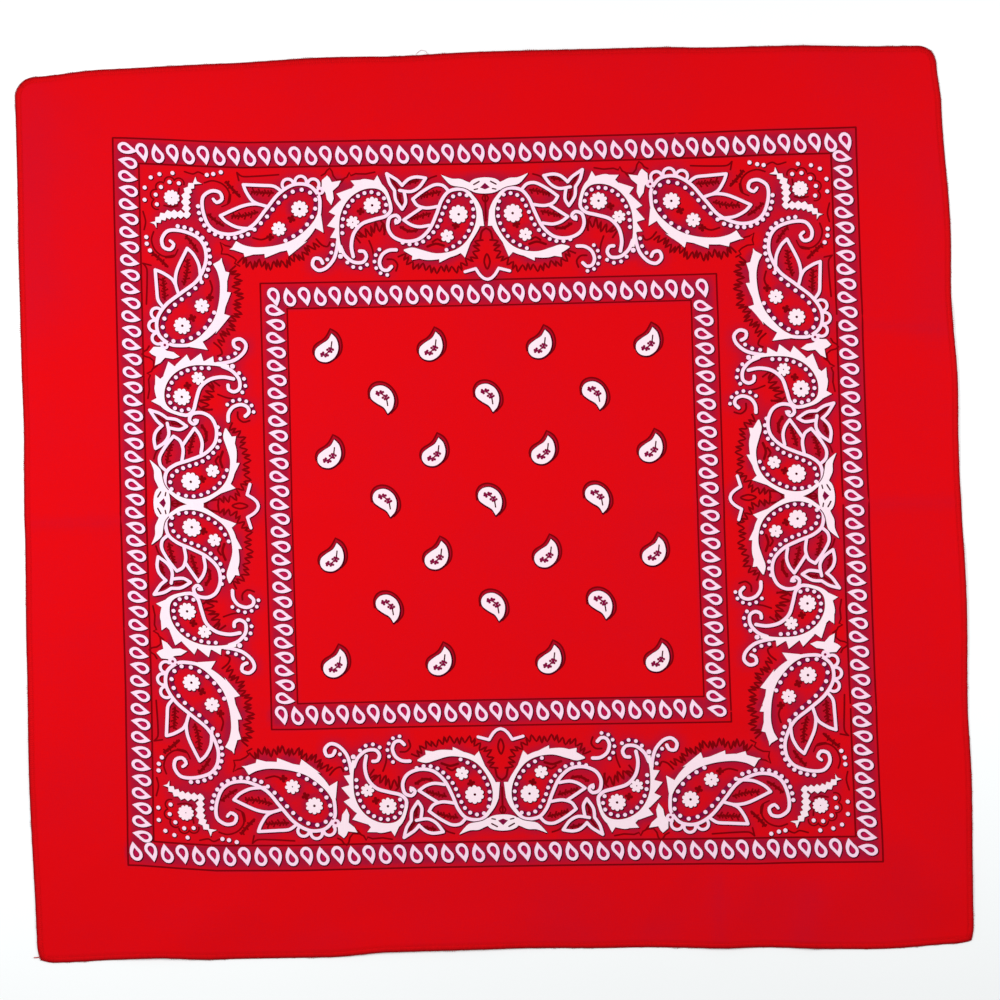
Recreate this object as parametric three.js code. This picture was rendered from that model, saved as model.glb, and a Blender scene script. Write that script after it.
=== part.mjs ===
// A square cotton bandana laid flat on a surface, in millimetres, +Z up.
// X runs along the front edge and Y from the front edge to the back edge.
// One panel of cloth ends just inside four narrow overlocked edges, which meet at the corners.
import * as THREE from "three";
import { mergeVertices } from "three/addons/utils/BufferGeometryUtils.js";

// Sizes of the panel: the straight square that the sides wander about, and the cloth's wall
const HALF_WIDTH = 278;
const HALF_LENGTH = 267;
const CORNER_RADIUS = 12;
const CLOTH_THICKNESS = 1.0;

// Sizes of the overlocked edge
const EDGE_WIDTH = 3.0;
const SEAM_GAP = 0.3;
const EDGE_SECTION = [
  { across: 0.12, up: 0 },
  { across: 0.88, up: 0 },
  { across: 1.0, up: 0.5 },
  { across: 0.76, up: 1.2 },
  { across: 0.5, up: 1.5 },
  { across: 0.24, up: 1.25 },
  { across: 0.0, up: 0.6 },
];

// How round each corner lies: 0 is square, 1 a quarter circle of CORNER_RADIUS
const CORNERS = {
  back_left: 1.0,
  back_right: 0.9,
  front_left: 0.55,
  front_right: 0.45,
};

// How far each side lies outside its straight line, at places along it
const SIDES = {
  back: [
    { at: -270, out: -3.4 },
    { at: -222, out: -0.2 },
    { at: -150, out: 0.6 },
    { at: -85, out: 2.4 },
    { at: -51, out: 1.7 },
    { at: 0, out: 2.4 },
    { at: 100, out: 1.7 },
    { at: 154, out: 0.4 },
    { at: 270, out: -2.6 },
  ],
  front: [
    { at: -270, out: -4.2 },
    { at: -208, out: -5.2 },
    { at: -173, out: -2.9 },
    { at: -104, out: -2.1 },
    { at: -69, out: -4.0 },
    { at: 0, out: -3.6 },
    { at: 69, out: -1.7 },
    { at: 139, out: 0.7 },
    { at: 225, out: 4.3 },
    { at: 270, out: 2.6 },
  ],
  left: [
    { at: -256, out: 0.2 },
    { at: -164, out: 1.5 },
    { at: -82, out: 0.4 },
    { at: 0, out: -1.0 },
    { at: 66, out: -2.5 },
    { at: 148, out: -3.1 },
    { at: 256, out: -3.9 },
  ],
  right: [
    { at: -256, out: 0.4 },
    { at: -166, out: 2.2 },
    { at: -125, out: 1.3 },
    { at: -66, out: 2.6 },
    { at: 33, out: 1.0 },
    { at: 66, out: 1.8 },
    { at: 115, out: -0.2 },
    { at: 155, out: 0.9 },
    { at: 231, out: -2.1 },
    { at: 256, out: -4.2 },
  ],
};

// Soft folds that lift the cloth: the middle of each, its direction in degrees from +X,
// half its length, half its width, and its height. The first six are the packing creases.
const FOLDS = [
  { x: -180, y: 1, turn: 0, reach: 105, spread: 9, height: 1.0 },
  { x: 185, y: -5, turn: -1, reach: 105, spread: 9, height: 1.1 },
  { x: 175, y: 107, turn: -1, reach: 120, spread: 9, height: 0.9 },
  { x: 150, y: -128, turn: 1, reach: 130, spread: 9, height: 0.8 },
  { x: -63, y: 205, turn: 90, reach: 75, spread: 9, height: 0.9 },
  { x: 119, y: 200, turn: 91, reach: 75, spread: 9, height: 0.8 },
  { x: -268, y: 120, turn: 95, reach: 55, spread: 16, height: 1.7 },
  { x: -262, y: -105, turn: 84, reach: 60, spread: 18, height: 1.5 },
  { x: -150, y: 258, turn: 4, reach: 60, spread: 15, height: 1.6 },
  { x: 45, y: 262, turn: -3, reach: 70, spread: 14, height: 1.3 },
  { x: 215, y: 250, turn: 150, reach: 40, spread: 17, height: 1.9 },
  { x: 270, y: 60, turn: 92, reach: 48, spread: 15, height: 1.6 },
  { x: 268, y: -75, turn: 86, reach: 45, spread: 16, height: 1.9 },
  { x: 140, y: -240, turn: 62, reach: 34, spread: 17, height: 2.2 },
  { x: 192, y: -246, turn: 55, reach: 32, spread: 15, height: 1.8 },
  { x: 246, y: -222, turn: 128, reach: 36, spread: 18, height: 2.4 },
  { x: -40, y: -258, turn: 3, reach: 65, spread: 14, height: 1.5 },
  { x: -190, y: -250, turn: 30, reach: 42, spread: 17, height: 1.8 },
];
const CREASE_ROWS = [107, 1, -128];
const CREASE_COLUMNS = [-63, 119];
const CREASE_FOOT = 10;

// A fold's tail lower than this lies on the surface, so the underside is flat there.
const REST_LEVEL = 0.12;

// Spacing of the panel's mesh
const MESH_STEP = 15;
const CORNER_STEPS = 3;
const CLOSEST_LINES = 5;

// Spacing of the edges' sections
const EDGE_STEP = 13;
const EDGE_CORNER_STEPS = 5;
const EDGE_END = 0.98; // of the way round the corner, which leaves SEAM_GAP to the next edge

const MERGE_DISTANCE = 1e-4;

// The value of a smooth line through a table's rows, level past its ends.
function followTable(rows, at) {
  const last = rows.length - 1;
  if (at <= rows[0].at) return rows[0].out;
  if (at >= rows[last].at) return rows[last].out;
  const next = rows.findIndex((row) => row.at > at);
  const from = rows[next - 1];
  const to = rows[next];
  const share = (at - from.at) / (to.at - from.at);
  const eased = share * share * (3 - 2 * share);
  return from.out + (to.out - from.out) * eased;
}

// A place on the nominal square, with its border drawn in by inset. Only the corner stretches shrink.
function drawIn(place, half, inset) {
  const straight = half - CORNER_RADIUS;
  const past = Math.abs(place) - straight;
  if (past <= 0) return place;
  const shrunk = (past * (CORNER_RADIUS - inset)) / CORNER_RADIUS;
  return Math.sign(place) * (straight + shrunk);
}

function cornerRoundness(p, q) {
  const side = p < 0 ? "left" : "right";
  return q < 0 ? CORNERS["front_" + side] : CORNERS["back_" + side];
}

// The point of the laid cloth at place p, q of the nominal square.
function clothPoint(p, q, inset) {
  const intoX = Math.max(0, 1 - (HALF_WIDTH - Math.abs(p)) / CORNER_RADIUS);
  const intoY = Math.max(0, 1 - (HALF_LENGTH - Math.abs(q)) / CORNER_RADIUS);
  const roundness = cornerRoundness(p, q);
  const radius = CORNER_RADIUS - inset;
  const pullX = intoX * radius * roundness * (1 - Math.sqrt(1 - (intoY * intoY) / 2));
  const pullY = intoY * radius * roundness * (1 - Math.sqrt(1 - (intoX * intoX) / 2));
  const rightShare = (1 + p / HALF_WIDTH) / 2;
  const backShare = (1 + q / HALF_LENGTH) / 2;
  const waveX =
    rightShare * followTable(SIDES.right, q) - (1 - rightShare) * followTable(SIDES.left, q);
  const waveY =
    backShare * followTable(SIDES.back, p) - (1 - backShare) * followTable(SIDES.front, p);
  return new THREE.Vector2(
    drawIn(p, HALF_WIDTH, inset) - Math.sign(p) * pullX + waveX,
    drawIn(q, HALF_LENGTH, inset) - Math.sign(q) * pullY + waveY,
  );
}

// How high the folds lift the underside of the cloth above the surface.
function lift(x, y) {
  let height = 0;
  for (const fold of FOLDS) {
    const turn = THREE.MathUtils.degToRad(fold.turn);
    const dx = x - fold.x;
    const dy = y - fold.y;
    const along = (dx * Math.cos(turn) + dy * Math.sin(turn)) / fold.reach;
    const across = (dy * Math.cos(turn) - dx * Math.sin(turn)) / fold.spread;
    height += fold.height * Math.exp(-(along ** 4) - across * across);
  }
  return Math.max(0, height - REST_LEVEL);
}

// Places along one axis from edge to edge: steps round the corners, regular steps between them,
// and a crest and two feet at each crease.
function meshPlaces(half, creases) {
  const straight = half - CORNER_RADIUS;
  const places = [];
  for (let step = 0; step <= CORNER_STEPS; step += 1) {
    const place = straight + (CORNER_RADIUS * step) / CORNER_STEPS;
    places.push(-place, place);
  }
  for (const crest of creases) {
    places.push(crest - CREASE_FOOT, crest, crest + CREASE_FOOT);
  }
  const count = Math.round((2 * straight) / MESH_STEP);
  for (let step = 1; step < count; step += 1) {
    const place = -straight + (2 * straight * step) / count;
    const clear = places.every((other) => Math.abs(other - place) > CLOSEST_LINES);
    if (clear) places.push(place);
  }
  return places.sort((a, b) => a - b);
}

// Places along one edge, from just short of one corner's middle to just short of the next.
function edgePlaces(half) {
  const straight = half - CORNER_RADIUS;
  const count = Math.round((2 * straight) / EDGE_STEP);
  const places = [];
  for (let step = EDGE_CORNER_STEPS; step > 0; step -= 1) {
    places.push(-straight - (CORNER_RADIUS * EDGE_END * step) / EDGE_CORNER_STEPS);
  }
  for (let step = 0; step <= count; step += 1) {
    places.push(-straight + (2 * straight * step) / count);
  }
  for (let step = 1; step <= EDGE_CORNER_STEPS; step += 1) {
    places.push(straight + (CORNER_RADIUS * EDGE_END * step) / EDGE_CORNER_STEPS);
  }
  return places;
}

// A closed solid from triangles of points.
function solidFrom(triangles) {
  const geometry = new THREE.BufferGeometry();
  const positions = triangles.flatMap((triangle) => triangle.flatMap((p) => [p.x, p.y, p.z]));
  geometry.setAttribute("position", new THREE.Float32BufferAttribute(positions, 3));
  const merged = mergeVertices(geometry, MERGE_DISTANCE);
  merged.computeVertexNormals();
  return merged;
}

// Two triangles for a four-sided face, anticlockwise seen from outside.
function quad(a, b, c, d) {
  return [
    [a, b, c],
    [a, c, d],
  ];
}

// The panel: one wall of even thickness whose underside lies on the surface between the folds.
function panelGeometry() {
  const columns = meshPlaces(HALF_WIDTH, CREASE_COLUMNS);
  const rows = meshPlaces(HALF_LENGTH, CREASE_ROWS);
  const inset = EDGE_WIDTH + SEAM_GAP;
  const layer = (up) =>
    columns.map((p) =>
      rows.map((q) => {
        const place = clothPoint(p, q, inset);
        return new THREE.Vector3(place.x, place.y, lift(place.x, place.y) + up);
      }),
    );
  const under = layer(0);
  const over = layer(CLOTH_THICKNESS);
  const lastColumn = columns.length - 1;
  const lastRow = rows.length - 1;
  const triangles = [];
  for (let i = 0; i < lastColumn; i += 1) {
    for (let j = 0; j < lastRow; j += 1) {
      triangles.push(...quad(over[i][j], over[i + 1][j], over[i + 1][j + 1], over[i][j + 1]));
      triangles.push(...quad(under[i][j], under[i][j + 1], under[i + 1][j + 1], under[i + 1][j]));
    }
    const back = lastRow;
    triangles.push(...quad(under[i][0], under[i + 1][0], over[i + 1][0], over[i][0]));
    triangles.push(...quad(over[i][back], over[i + 1][back], under[i + 1][back], under[i][back]));
  }
  for (let j = 0; j < lastRow; j += 1) {
    const right = lastColumn;
    triangles.push(...quad(over[0][j], over[0][j + 1], under[0][j + 1], under[0][j]));
    triangles.push(
      ...quad(under[right][j], under[right][j + 1], over[right][j + 1], over[right][j]),
    );
  }
  return solidFrom(triangles);
}

// The outer and inner point of an edge at one place along it.
const EDGE_LINES = {
  front: (place, inset) => clothPoint(place, -HALF_LENGTH, inset),
  right: (place, inset) => clothPoint(HALF_WIDTH, place, inset),
  back: (place, inset) => clothPoint(-place, HALF_LENGTH, inset),
  left: (place, inset) => clothPoint(-HALF_WIDTH, -place, inset),
};

// One stretch of overlocked edge: the section carried along one side and half round both corners.
function edgeGeometry(side) {
  const half = side === "front" || side === "back" ? HALF_WIDTH : HALF_LENGTH;
  const rings = edgePlaces(half).map((place) => {
    const outer = EDGE_LINES[side](place, 0);
    const inner = EDGE_LINES[side](place, EDGE_WIDTH);
    return EDGE_SECTION.map((corner) => {
      const point = outer.clone().lerp(inner, corner.across);
      return new THREE.Vector3(point.x, point.y, lift(point.x, point.y) + corner.up);
    });
  });
  const sides = EDGE_SECTION.length;
  const triangles = [];
  for (let step = 0; step < rings.length - 1; step += 1) {
    for (let corner = 0; corner < sides; corner += 1) {
      const next = (corner + 1) % sides;
      triangles.push(
        ...quad(
          rings[step][corner],
          rings[step][next],
          rings[step + 1][next],
          rings[step + 1][corner],
        ),
      );
    }
  }
  const first = rings[0];
  const last = rings[rings.length - 1];
  for (let corner = 1; corner < sides - 1; corner += 1) {
    triangles.push([first[0], first[corner + 1], first[corner]]);
    triangles.push([last[0], last[corner], last[corner + 1]]);
  }
  return solidFrom(triangles);
}

const clothMaterial = new THREE.MeshStandardMaterial({
  color: 0xd40a1c,
  roughness: 0.9,
  metalness: 0,
});
const threadMaterial = new THREE.MeshStandardMaterial({
  color: 0xb00a1c,
  roughness: 0.85,
  metalness: 0,
});

function namedMesh(name, geometry, material) {
  const mesh = new THREE.Mesh(geometry, material);
  mesh.name = name;
  return mesh;
}

const cloth = new THREE.Group();
cloth.add(namedMesh("cloth_panel", panelGeometry(), clothMaterial));
for (const side of Object.keys(EDGE_LINES)) {
  cloth.add(namedMesh("edge_" + side, edgeGeometry(side), threadMaterial));
}

// The frame's origin is under the middle of the whole outline.
const outline = new THREE.Box3().setFromObject(cloth);
const middle = outline.getCenter(new THREE.Vector3());
cloth.position.set(-middle.x, -middle.y, 0);

const bandana = new THREE.Group();
bandana.name = "bandana";
bandana.add(cloth);

export default bandana;
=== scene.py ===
# A red cotton bandana spread flat: the cloth, its printed paisley border and centre, and its
# overlocked edges.
# Lengths are in millimetres until a mesh is made, in the part's own frame: X along the front edge,
# Y from the front edge to the back edge, Z up out of the printed face.
import math
import random

import bpy
import numpy as np
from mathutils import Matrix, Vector
from mathutils.geometry import delaunay_2d_cdt


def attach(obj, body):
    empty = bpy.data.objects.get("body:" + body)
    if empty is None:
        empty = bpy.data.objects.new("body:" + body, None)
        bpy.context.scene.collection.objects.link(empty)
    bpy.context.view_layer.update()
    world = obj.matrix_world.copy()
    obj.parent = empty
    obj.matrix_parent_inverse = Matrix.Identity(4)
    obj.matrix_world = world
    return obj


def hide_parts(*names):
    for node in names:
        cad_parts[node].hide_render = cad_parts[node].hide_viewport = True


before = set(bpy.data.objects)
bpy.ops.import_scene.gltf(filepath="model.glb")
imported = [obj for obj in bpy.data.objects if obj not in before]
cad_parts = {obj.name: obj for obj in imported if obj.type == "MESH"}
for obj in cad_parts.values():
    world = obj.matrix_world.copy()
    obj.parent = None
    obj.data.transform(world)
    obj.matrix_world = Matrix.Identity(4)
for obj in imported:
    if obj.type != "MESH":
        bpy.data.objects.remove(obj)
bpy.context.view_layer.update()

MM = 0.001

# The outline, as in the part's source
HALF_WIDTH = 278.0
HALF_LENGTH = 267.0
CORNER_RADIUS = 12.0
EDGE_WIDTH = 3.0
FRAME_SHIFT = (-0.55, 0.95)
CORNERS = {"back_left": 1.0, "back_right": 0.9, "front_left": 0.55, "front_right": 0.45}
SIDES = {
    "back": (
        (-270, -3.4), (-222, -0.2), (-150, 0.6), (-85, 2.4), (-51, 1.7), (0, 2.4), (100, 1.7),
        (154, 0.4), (270, -2.6),
    ),
    "front": (
        (-270, -4.2), (-208, -5.2), (-173, -2.9), (-104, -2.1), (-69, -4.0), (0, -3.6), (69, -1.7),
        (139, 0.7), (225, 4.3), (270, 2.6),
    ),
    "left": ((-256, 0.2), (-164, 1.5), (-82, 0.4), (0, -1.0), (66, -2.5), (148, -3.1), (256, -3.9)),
    "right": (
        (-256, 0.4), (-166, 2.2), (-125, 1.3), (-66, 2.6), (33, 1.0), (66, 1.8), (115, -0.2),
        (155, 0.9), (231, -2.1), (256, -4.2),
    ),
}

# The folds of the part's source: middle x, y, direction in degrees, half length, half width, height
FOLDS = (
    (-180, 1, 0, 105, 9, 1.0),
    (185, -5, -1, 105, 9, 1.1),
    (175, 107, -1, 120, 9, 0.9),
    (150, -128, 1, 130, 9, 0.8),
    (-63, 205, 90, 75, 9, 0.9),
    (119, 200, 91, 75, 9, 0.8),
    (-268, 120, 95, 55, 16, 1.7),
    (-262, -105, 84, 60, 18, 1.5),
    (-150, 258, 4, 60, 15, 1.6),
    (45, 262, -3, 70, 14, 1.3),
    (215, 250, 150, 40, 17, 1.9),
    (270, 60, 92, 48, 15, 1.6),
    (268, -75, 86, 45, 16, 1.9),
    (140, -240, 62, 34, 17, 2.2),
    (192, -246, 55, 32, 15, 1.8),
    (246, -222, 128, 36, 18, 2.4),
    (-40, -258, 3, 65, 14, 1.5),
    (-190, -250, 30, 42, 17, 1.8),
)
REST_LEVEL = 0.12

# Finer wrinkles that only the visible cloth has, in the same columns
WRINKLES = (
    (-120, 3, 1, 70, 3.2, 0.16),
    (120, -3, -1, 90, 3.0, 0.18),
    (90, 108, -1, 110, 3.4, 0.15),
    (60, -127, 1, 120, 3.2, 0.14),
    (-62, 90, 90, 90, 3.4, 0.14),
    (118, 60, 91, 90, 3.2, 0.13),
    (-235, 232, -40, 30, 5.0, 0.34),
    (-250, 190, 70, 26, 4.5, 0.30),
    (-246, 30, 12, 24, 5.5, 0.28),
    (-240, -60, -14, 30, 5.0, 0.30),
    (-232, -196, 35, 34, 6.0, 0.36),
    (-150, -236, -28, 26, 5.5, 0.30),
    (-90, -250, 14, 24, 5.0, 0.26),
    (20, -246, -20, 28, 5.5, 0.30),
    (96, -232, 48, 26, 6.0, 0.36),
    (176, -214, 62, 34, 6.5, 0.40),
    (224, -190, 130, 34, 6.0, 0.38),
    (252, -140, 20, 24, 5.0, 0.28),
    (250, 10, -10, 22, 5.0, 0.28),
    (244, 120, 16, 26, 5.0, 0.30),
    (236, 206, 140, 30, 6.0, 0.36),
    (150, 236, 22, 28, 5.5, 0.28),
    (90, 246, -12, 22, 5.0, 0.26),
    (-20, 240, 16, 26, 5.0, 0.26),
    (-100, 240, -18, 24, 5.0, 0.28),
    (-190, 244, 20, 24, 5.0, 0.30),
)

# The visible cloth's own wall, and how far the ink's meshes lie over it
CLOTH_WALL = 0.6
INK_LIFT = 0.07
CLOTH_STEP = 3.2
RIM_LINES = 3


def follow(rows, at):
    """The value of a smooth line through a table's rows, level past its ends."""
    if at <= rows[0][0]:
        return rows[0][1]
    for (low, first), (high, second) in zip(rows, rows[1:]):
        if at < high:
            share = (at - low) / (high - low)
            return first + (second - first) * share * share * (3 - 2 * share)
    return rows[-1][1]


def draw_in(place, half, inset):
    straight = half - CORNER_RADIUS
    past = abs(place) - straight
    if past <= 0:
        return place
    return math.copysign(straight + past * (CORNER_RADIUS - inset) / CORNER_RADIUS, place)


def cloth_point(p, q, inset):
    """The point of the laid cloth at place p, q of the nominal square, in the part's frame."""
    into_x = max(0.0, 1 - (HALF_WIDTH - abs(p)) / CORNER_RADIUS)
    into_y = max(0.0, 1 - (HALF_LENGTH - abs(q)) / CORNER_RADIUS)
    corner = ("front_" if q < 0 else "back_") + ("left" if p < 0 else "right")
    pull = (CORNER_RADIUS - inset) * CORNERS[corner]
    pull_x = into_x * pull * (1 - math.sqrt(1 - into_y * into_y / 2))
    pull_y = into_y * pull * (1 - math.sqrt(1 - into_x * into_x / 2))
    right_share = (1 + p / HALF_WIDTH) / 2
    back_share = (1 + q / HALF_LENGTH) / 2
    wave_x = right_share * follow(SIDES["right"], q) - (1 - right_share) * follow(SIDES["left"], q)
    wave_y = back_share * follow(SIDES["back"], p) - (1 - back_share) * follow(SIDES["front"], p)
    x = draw_in(p, HALF_WIDTH, inset) - math.copysign(pull_x, p) + wave_x + FRAME_SHIFT[0]
    y = draw_in(q, HALF_LENGTH, inset) - math.copysign(pull_y, q) + wave_y + FRAME_SHIFT[1]
    return x, y


def fold_height(rows, x, y):
    """The height of all of a table's folds at one place, or at arrays of places."""
    height = 0.0 * x
    for middle_x, middle_y, turn, reach, spread, high in rows:
        dx = x - middle_x
        dy = y - middle_y
        cos = math.cos(math.radians(turn))
        sin = math.sin(math.radians(turn))
        along = (dx * cos + dy * sin) / reach
        across = (dy * cos - dx * sin) / spread
        height = height + high * np.exp(-(along**4) - across * across)
    return height


def lift(x, y):
    """How high the folds lift the underside of the cloth above the surface."""
    raw_x = x - FRAME_SHIFT[0]
    raw_y = y - FRAME_SHIFT[1]
    return np.maximum(0.0, fold_height(FOLDS, raw_x, raw_y) - REST_LEVEL)


def cloth_top(x, y):
    return lift(x, y) + fold_height(WRINKLES, x, y) + CLOTH_WALL


SLOPE_REACH = 0.8


def top_normals(x, y):
    slope_x = (cloth_top(x + SLOPE_REACH, y) - cloth_top(x - SLOPE_REACH, y)) / (2 * SLOPE_REACH)
    slope_y = (cloth_top(x, y + SLOPE_REACH) - cloth_top(x, y - SLOPE_REACH)) / (2 * SLOPE_REACH)
    size = np.sqrt(slope_x**2 + slope_y**2 + 1)
    return np.stack((-slope_x / size, -slope_y / size, 1 / size), axis=1)


def new_mesh(name, points, faces, materials=()):
    """A mesh object from points in millimetres."""
    mesh = bpy.data.meshes.new(name)
    mesh.from_pydata([(x * MM, y * MM, z * MM) for x, y, z in points], [], faces)
    for material in materials:
        mesh.materials.append(material)
    mesh.update()
    thing = bpy.data.objects.new(name, mesh)
    bpy.context.scene.collection.objects.link(thing)
    return thing


def flat_uv(thing, place):
    """The map that colours are baked on. place gives a vertex's spot on it."""
    layer = thing.data.uv_layers.new(name="OFBake")
    for loop in thing.data.loops:
        layer.data[loop.index].uv = place(loop.vertex_index)


# The materials. Every one is woven or spun thread, so all share one set of nodes.


def srgb(red, green, blue):
    """A colour of 0 to 255 as the shader takes it."""

    def linear(value):
        value /= 255
        return value / 12.92 if value <= 0.04045 else ((value + 0.055) / 1.055) ** 2.4

    return (linear(red), linear(green), linear(blue), 1.0)


WEAVE_PITCH = 0.42
WEAVE_SHARE = 0.5
SLUB_SCALE = 260
SLUB_STRETCH = 9
SLUB_SHARE = 0.55
PATCH_SCALE = 16
PATCH_SHARE = 0.9
RELIEF_DEPTH = 0.00012
SPECULAR = 0.04
SHEEN_ROUGHNESS = 0.55
SHEEN_TINT = (1.0, 0.75, 0.75, 1.0)


def set_inputs(node, values):
    for name, value in values.items():
        node.inputs[name].default_value = value


def yarn_material(
    name, color, deep_color, roughness, sheen, relief=0.35, base=0.35, spread=1.0, attribute=None
):
    """Woven cotton: color and deep_color are mixed by uneven dye, by single threads of the weave and by an
    attribute, if given, that can carry painted shade.
    """
    material = bpy.data.materials.new(name)
    material.use_nodes = True
    nodes = material.node_tree.nodes
    links = material.node_tree.links
    shader = nodes["Principled BSDF"]
    set_inputs(
        shader,
        {
            "Roughness": roughness,
            "Sheen Weight": sheen,
            "Sheen Roughness": SHEEN_ROUGHNESS,
            "Sheen Tint": SHEEN_TINT,
            "Specular IOR Level": SPECULAR,
        },
    )
    place = nodes.new("ShaderNodeTexCoord")
    split = nodes.new("ShaderNodeSeparateXYZ")
    links.new(place.outputs["Object"], split.inputs["Vector"])

    def maths(operation, first, second=None):
        node = nodes.new("ShaderNodeMath")
        node.operation = operation
        for slot, value in enumerate((first, second)):
            if value is None:
                continue
            if isinstance(value, (int, float)):
                node.inputs[slot].default_value = value
            else:
                links.new(value, node.inputs[slot])
        return node.outputs["Value"]

    def noise(scale, detail, stretch=(1, 1, 1)):
        mapping = nodes.new("ShaderNodeMapping")
        mapping.inputs["Scale"].default_value = stretch
        links.new(place.outputs["Object"], mapping.inputs["Vector"])
        node = nodes.new("ShaderNodeTexNoise")
        set_inputs(node, {"Scale": scale, "Detail": detail})
        links.new(mapping.outputs["Vector"], node.inputs["Vector"])
        return node.outputs["Fac"]

    turns = 2 * math.pi / (WEAVE_PITCH * MM)
    warp = maths("SINE", maths("MULTIPLY", split.outputs["X"], turns))
    weft = maths("SINE", maths("MULTIPLY", split.outputs["Y"], turns))
    weave = maths("MULTIPLY", warp, weft)
    along_warp = noise(SLUB_SCALE, 2, (1, SLUB_STRETCH, 1))
    along_weft = noise(SLUB_SCALE, 2, (SLUB_STRETCH, 1, 1))
    slubs = maths("ADD", along_warp, along_weft)
    patches = maths("MULTIPLY", noise(PATCH_SCALE, 3), PATCH_SHARE)
    uneven = maths("ADD", maths("MULTIPLY", slubs, SLUB_SHARE), patches)
    share = maths("ADD", maths("MULTIPLY", maths("SUBTRACT", uneven, 1.0), spread), base)
    if attribute:
        reader = nodes.new("ShaderNodeAttribute")
        reader.attribute_name = attribute
        share = maths("ADD", share, reader.outputs["Fac"])
    limit = nodes.new("ShaderNodeClamp")
    links.new(share, limit.inputs["Value"])
    mix = nodes.new("ShaderNodeMix")
    mix.data_type = "RGBA"
    set_inputs(mix, {"A": srgb(*color), "B": srgb(*deep_color)})
    links.new(limit.outputs["Result"], mix.inputs["Factor"])
    links.new(mix.outputs["Result"], shader.inputs["Base Color"])
    bump = nodes.new("ShaderNodeBump")
    set_inputs(bump, {"Strength": relief, "Distance": RELIEF_DEPTH})
    height = maths("ADD", maths("MULTIPLY", weave, WEAVE_SHARE), slubs)
    links.new(height, bump.inputs["Height"])
    links.new(bump.outputs["Normal"], shader.inputs["Normal"])
    return material


# The cloth's tint attribute deepens the red round the print and also carries painted shade.
cotton = yarn_material(
    "red_cotton",
    (224, 5, 14),
    (168, 17, 51),
    roughness=0.9,
    sheen=0.01,
    base=0.04,
    spread=0.35,
    attribute="tint",
)
cotton_reverse = yarn_material(
    "red_cotton_reverse", (208, 28, 40), (184, 26, 42), roughness=0.92, sheen=0.02
)
# The thread's deep colour is reached through its shade attribute, most of all as painted shade at the rim.
thread = yarn_material(
    "overlock_thread",
    (228, 8, 18),
    (146, 5, 12),
    roughness=0.85,
    sheen=0.02,
    relief=0.15,
    base=0.02,
    spread=0.2,
    attribute="shade",
)

# Each ink of the print: its colour, its colour where it is worn, its roughness and its slot
PRINT_INKS = {
    "white": ((255, 238, 245), (255, 217, 233), 0.88, "print_white"),
    "pale": ((255, 226, 243), (255, 204, 232), 0.88, "print_white"),
    "dark": ((64, 0, 18), (92, 2, 24), 0.9, "print_dark"),
    "maroon": ((112, 0, 6), (142, 0, 8), 0.9, "print_dark"),
    "crimson": ((122, 8, 56), (144, 12, 66), 0.9, "print_crimson"),
    "rose": ((182, 16, 68), (196, 18, 74), 0.9, "print_crimson"),
    "wine": ((166, 6, 28), (184, 10, 40), 0.9, "print_crimson"),
}

# The print's drawing kit. Shapes are lists of simple polygons in the print's own flat millimetres,
# u right and v up.

STROKE_STEP = 1.25
LEAST_WIDTH = 0.05
ROUND_END = 0.5
OUTLINE = 0.42
OUTLINE_SHIFT = (0.26, -0.3)
PAISLEY_LINE = 2.05
LEAF_LINE = 1.9
BEAD_SIZE = 0.9
PETAL_STEPS = 6
PETAL_ROUND = 0.7
ZIGZAG_WIDTH = 1.1
# How unevenly a quick pen swings and leans: the steady part, the wandering part, its turn per swing
PEN_SWING = (0.76, 0.34, 2.3)
PEN_LEAN = (0.5, 1.3)
# The barbs of a leaf's vein: how many more and longer than the drawing says, how wide and how far turned
BARB_COUNT = 1.3
BARB_SIZE = 1.2
BARB_WIDTH = 0.95
BARB_TURN = 2.1
BARB_SWING = (0.7, 0.3, 1.7)


def smooth_line(points, closed=False, step=STROKE_STEP):
    """A smooth line through a few points, which may carry a width as a third number."""
    count = len(points)
    line = []
    for index in range(count if closed else count - 1):
        if closed:
            around = [points[(index + offset) % count] for offset in (-1, 0, 1, 2)]
        else:
            around = [points[min(max(index + offset, 0), count - 1)] for offset in (-1, 0, 1, 2)]
        before, start, end, after = around
        span = math.dist(start[:2], end[:2])
        parts = max(2, round(span / step))
        reach_in = span / max(span, math.dist(before[:2], start[:2]), 1e-6)
        reach_out = span / max(span, math.dist(end[:2], after[:2]), 1e-6)
        for part in range(parts):
            t = part / parts
            place = []
            for a, b, c, d in zip(before, start, end, after):
                leave = (c - a) / 2 * (0.5 + reach_in / 2)
                arrive = (d - b) / 2 * (0.5 + reach_out / 2)
                place.append(
                    (2 * t**3 - 3 * t**2 + 1) * b
                    + (t**3 - 2 * t**2 + t) * leave
                    + (3 * t**2 - 2 * t**3) * c
                    + (t**3 - t**2) * arrive
                )
            line.append(tuple(place))
    if not closed:
        line.append(tuple(points[-1]))
    return line


def sides_of(line, widths, closed=False):
    """The left and right borders of a band along a line."""
    left = []
    right = []
    last = len(line) - 1
    for index, place in enumerate(line):
        if closed:
            before, after = line[index - 1], line[(index + 1) % len(line)]
        else:
            before, after = line[max(index - 1, 0)], line[min(index + 1, last)]
        du, dv = after[0] - before[0], after[1] - before[1]
        size = math.hypot(du, dv) or 1.0
        half = widths[index] / 2
        left.append((place[0] - dv / size * half, place[1] + du / size * half))
        right.append((place[0] + dv / size * half, place[1] - du / size * half))
    return left, right


def area_of(polygon):
    total = 0.0
    for (u1, v1), (u2, v2) in zip(polygon, polygon[1:] + polygon[:1]):
        total += u1 * v2 - u2 * v1
    return total / 2


SMALLEST_AREA = 1e-4


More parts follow.
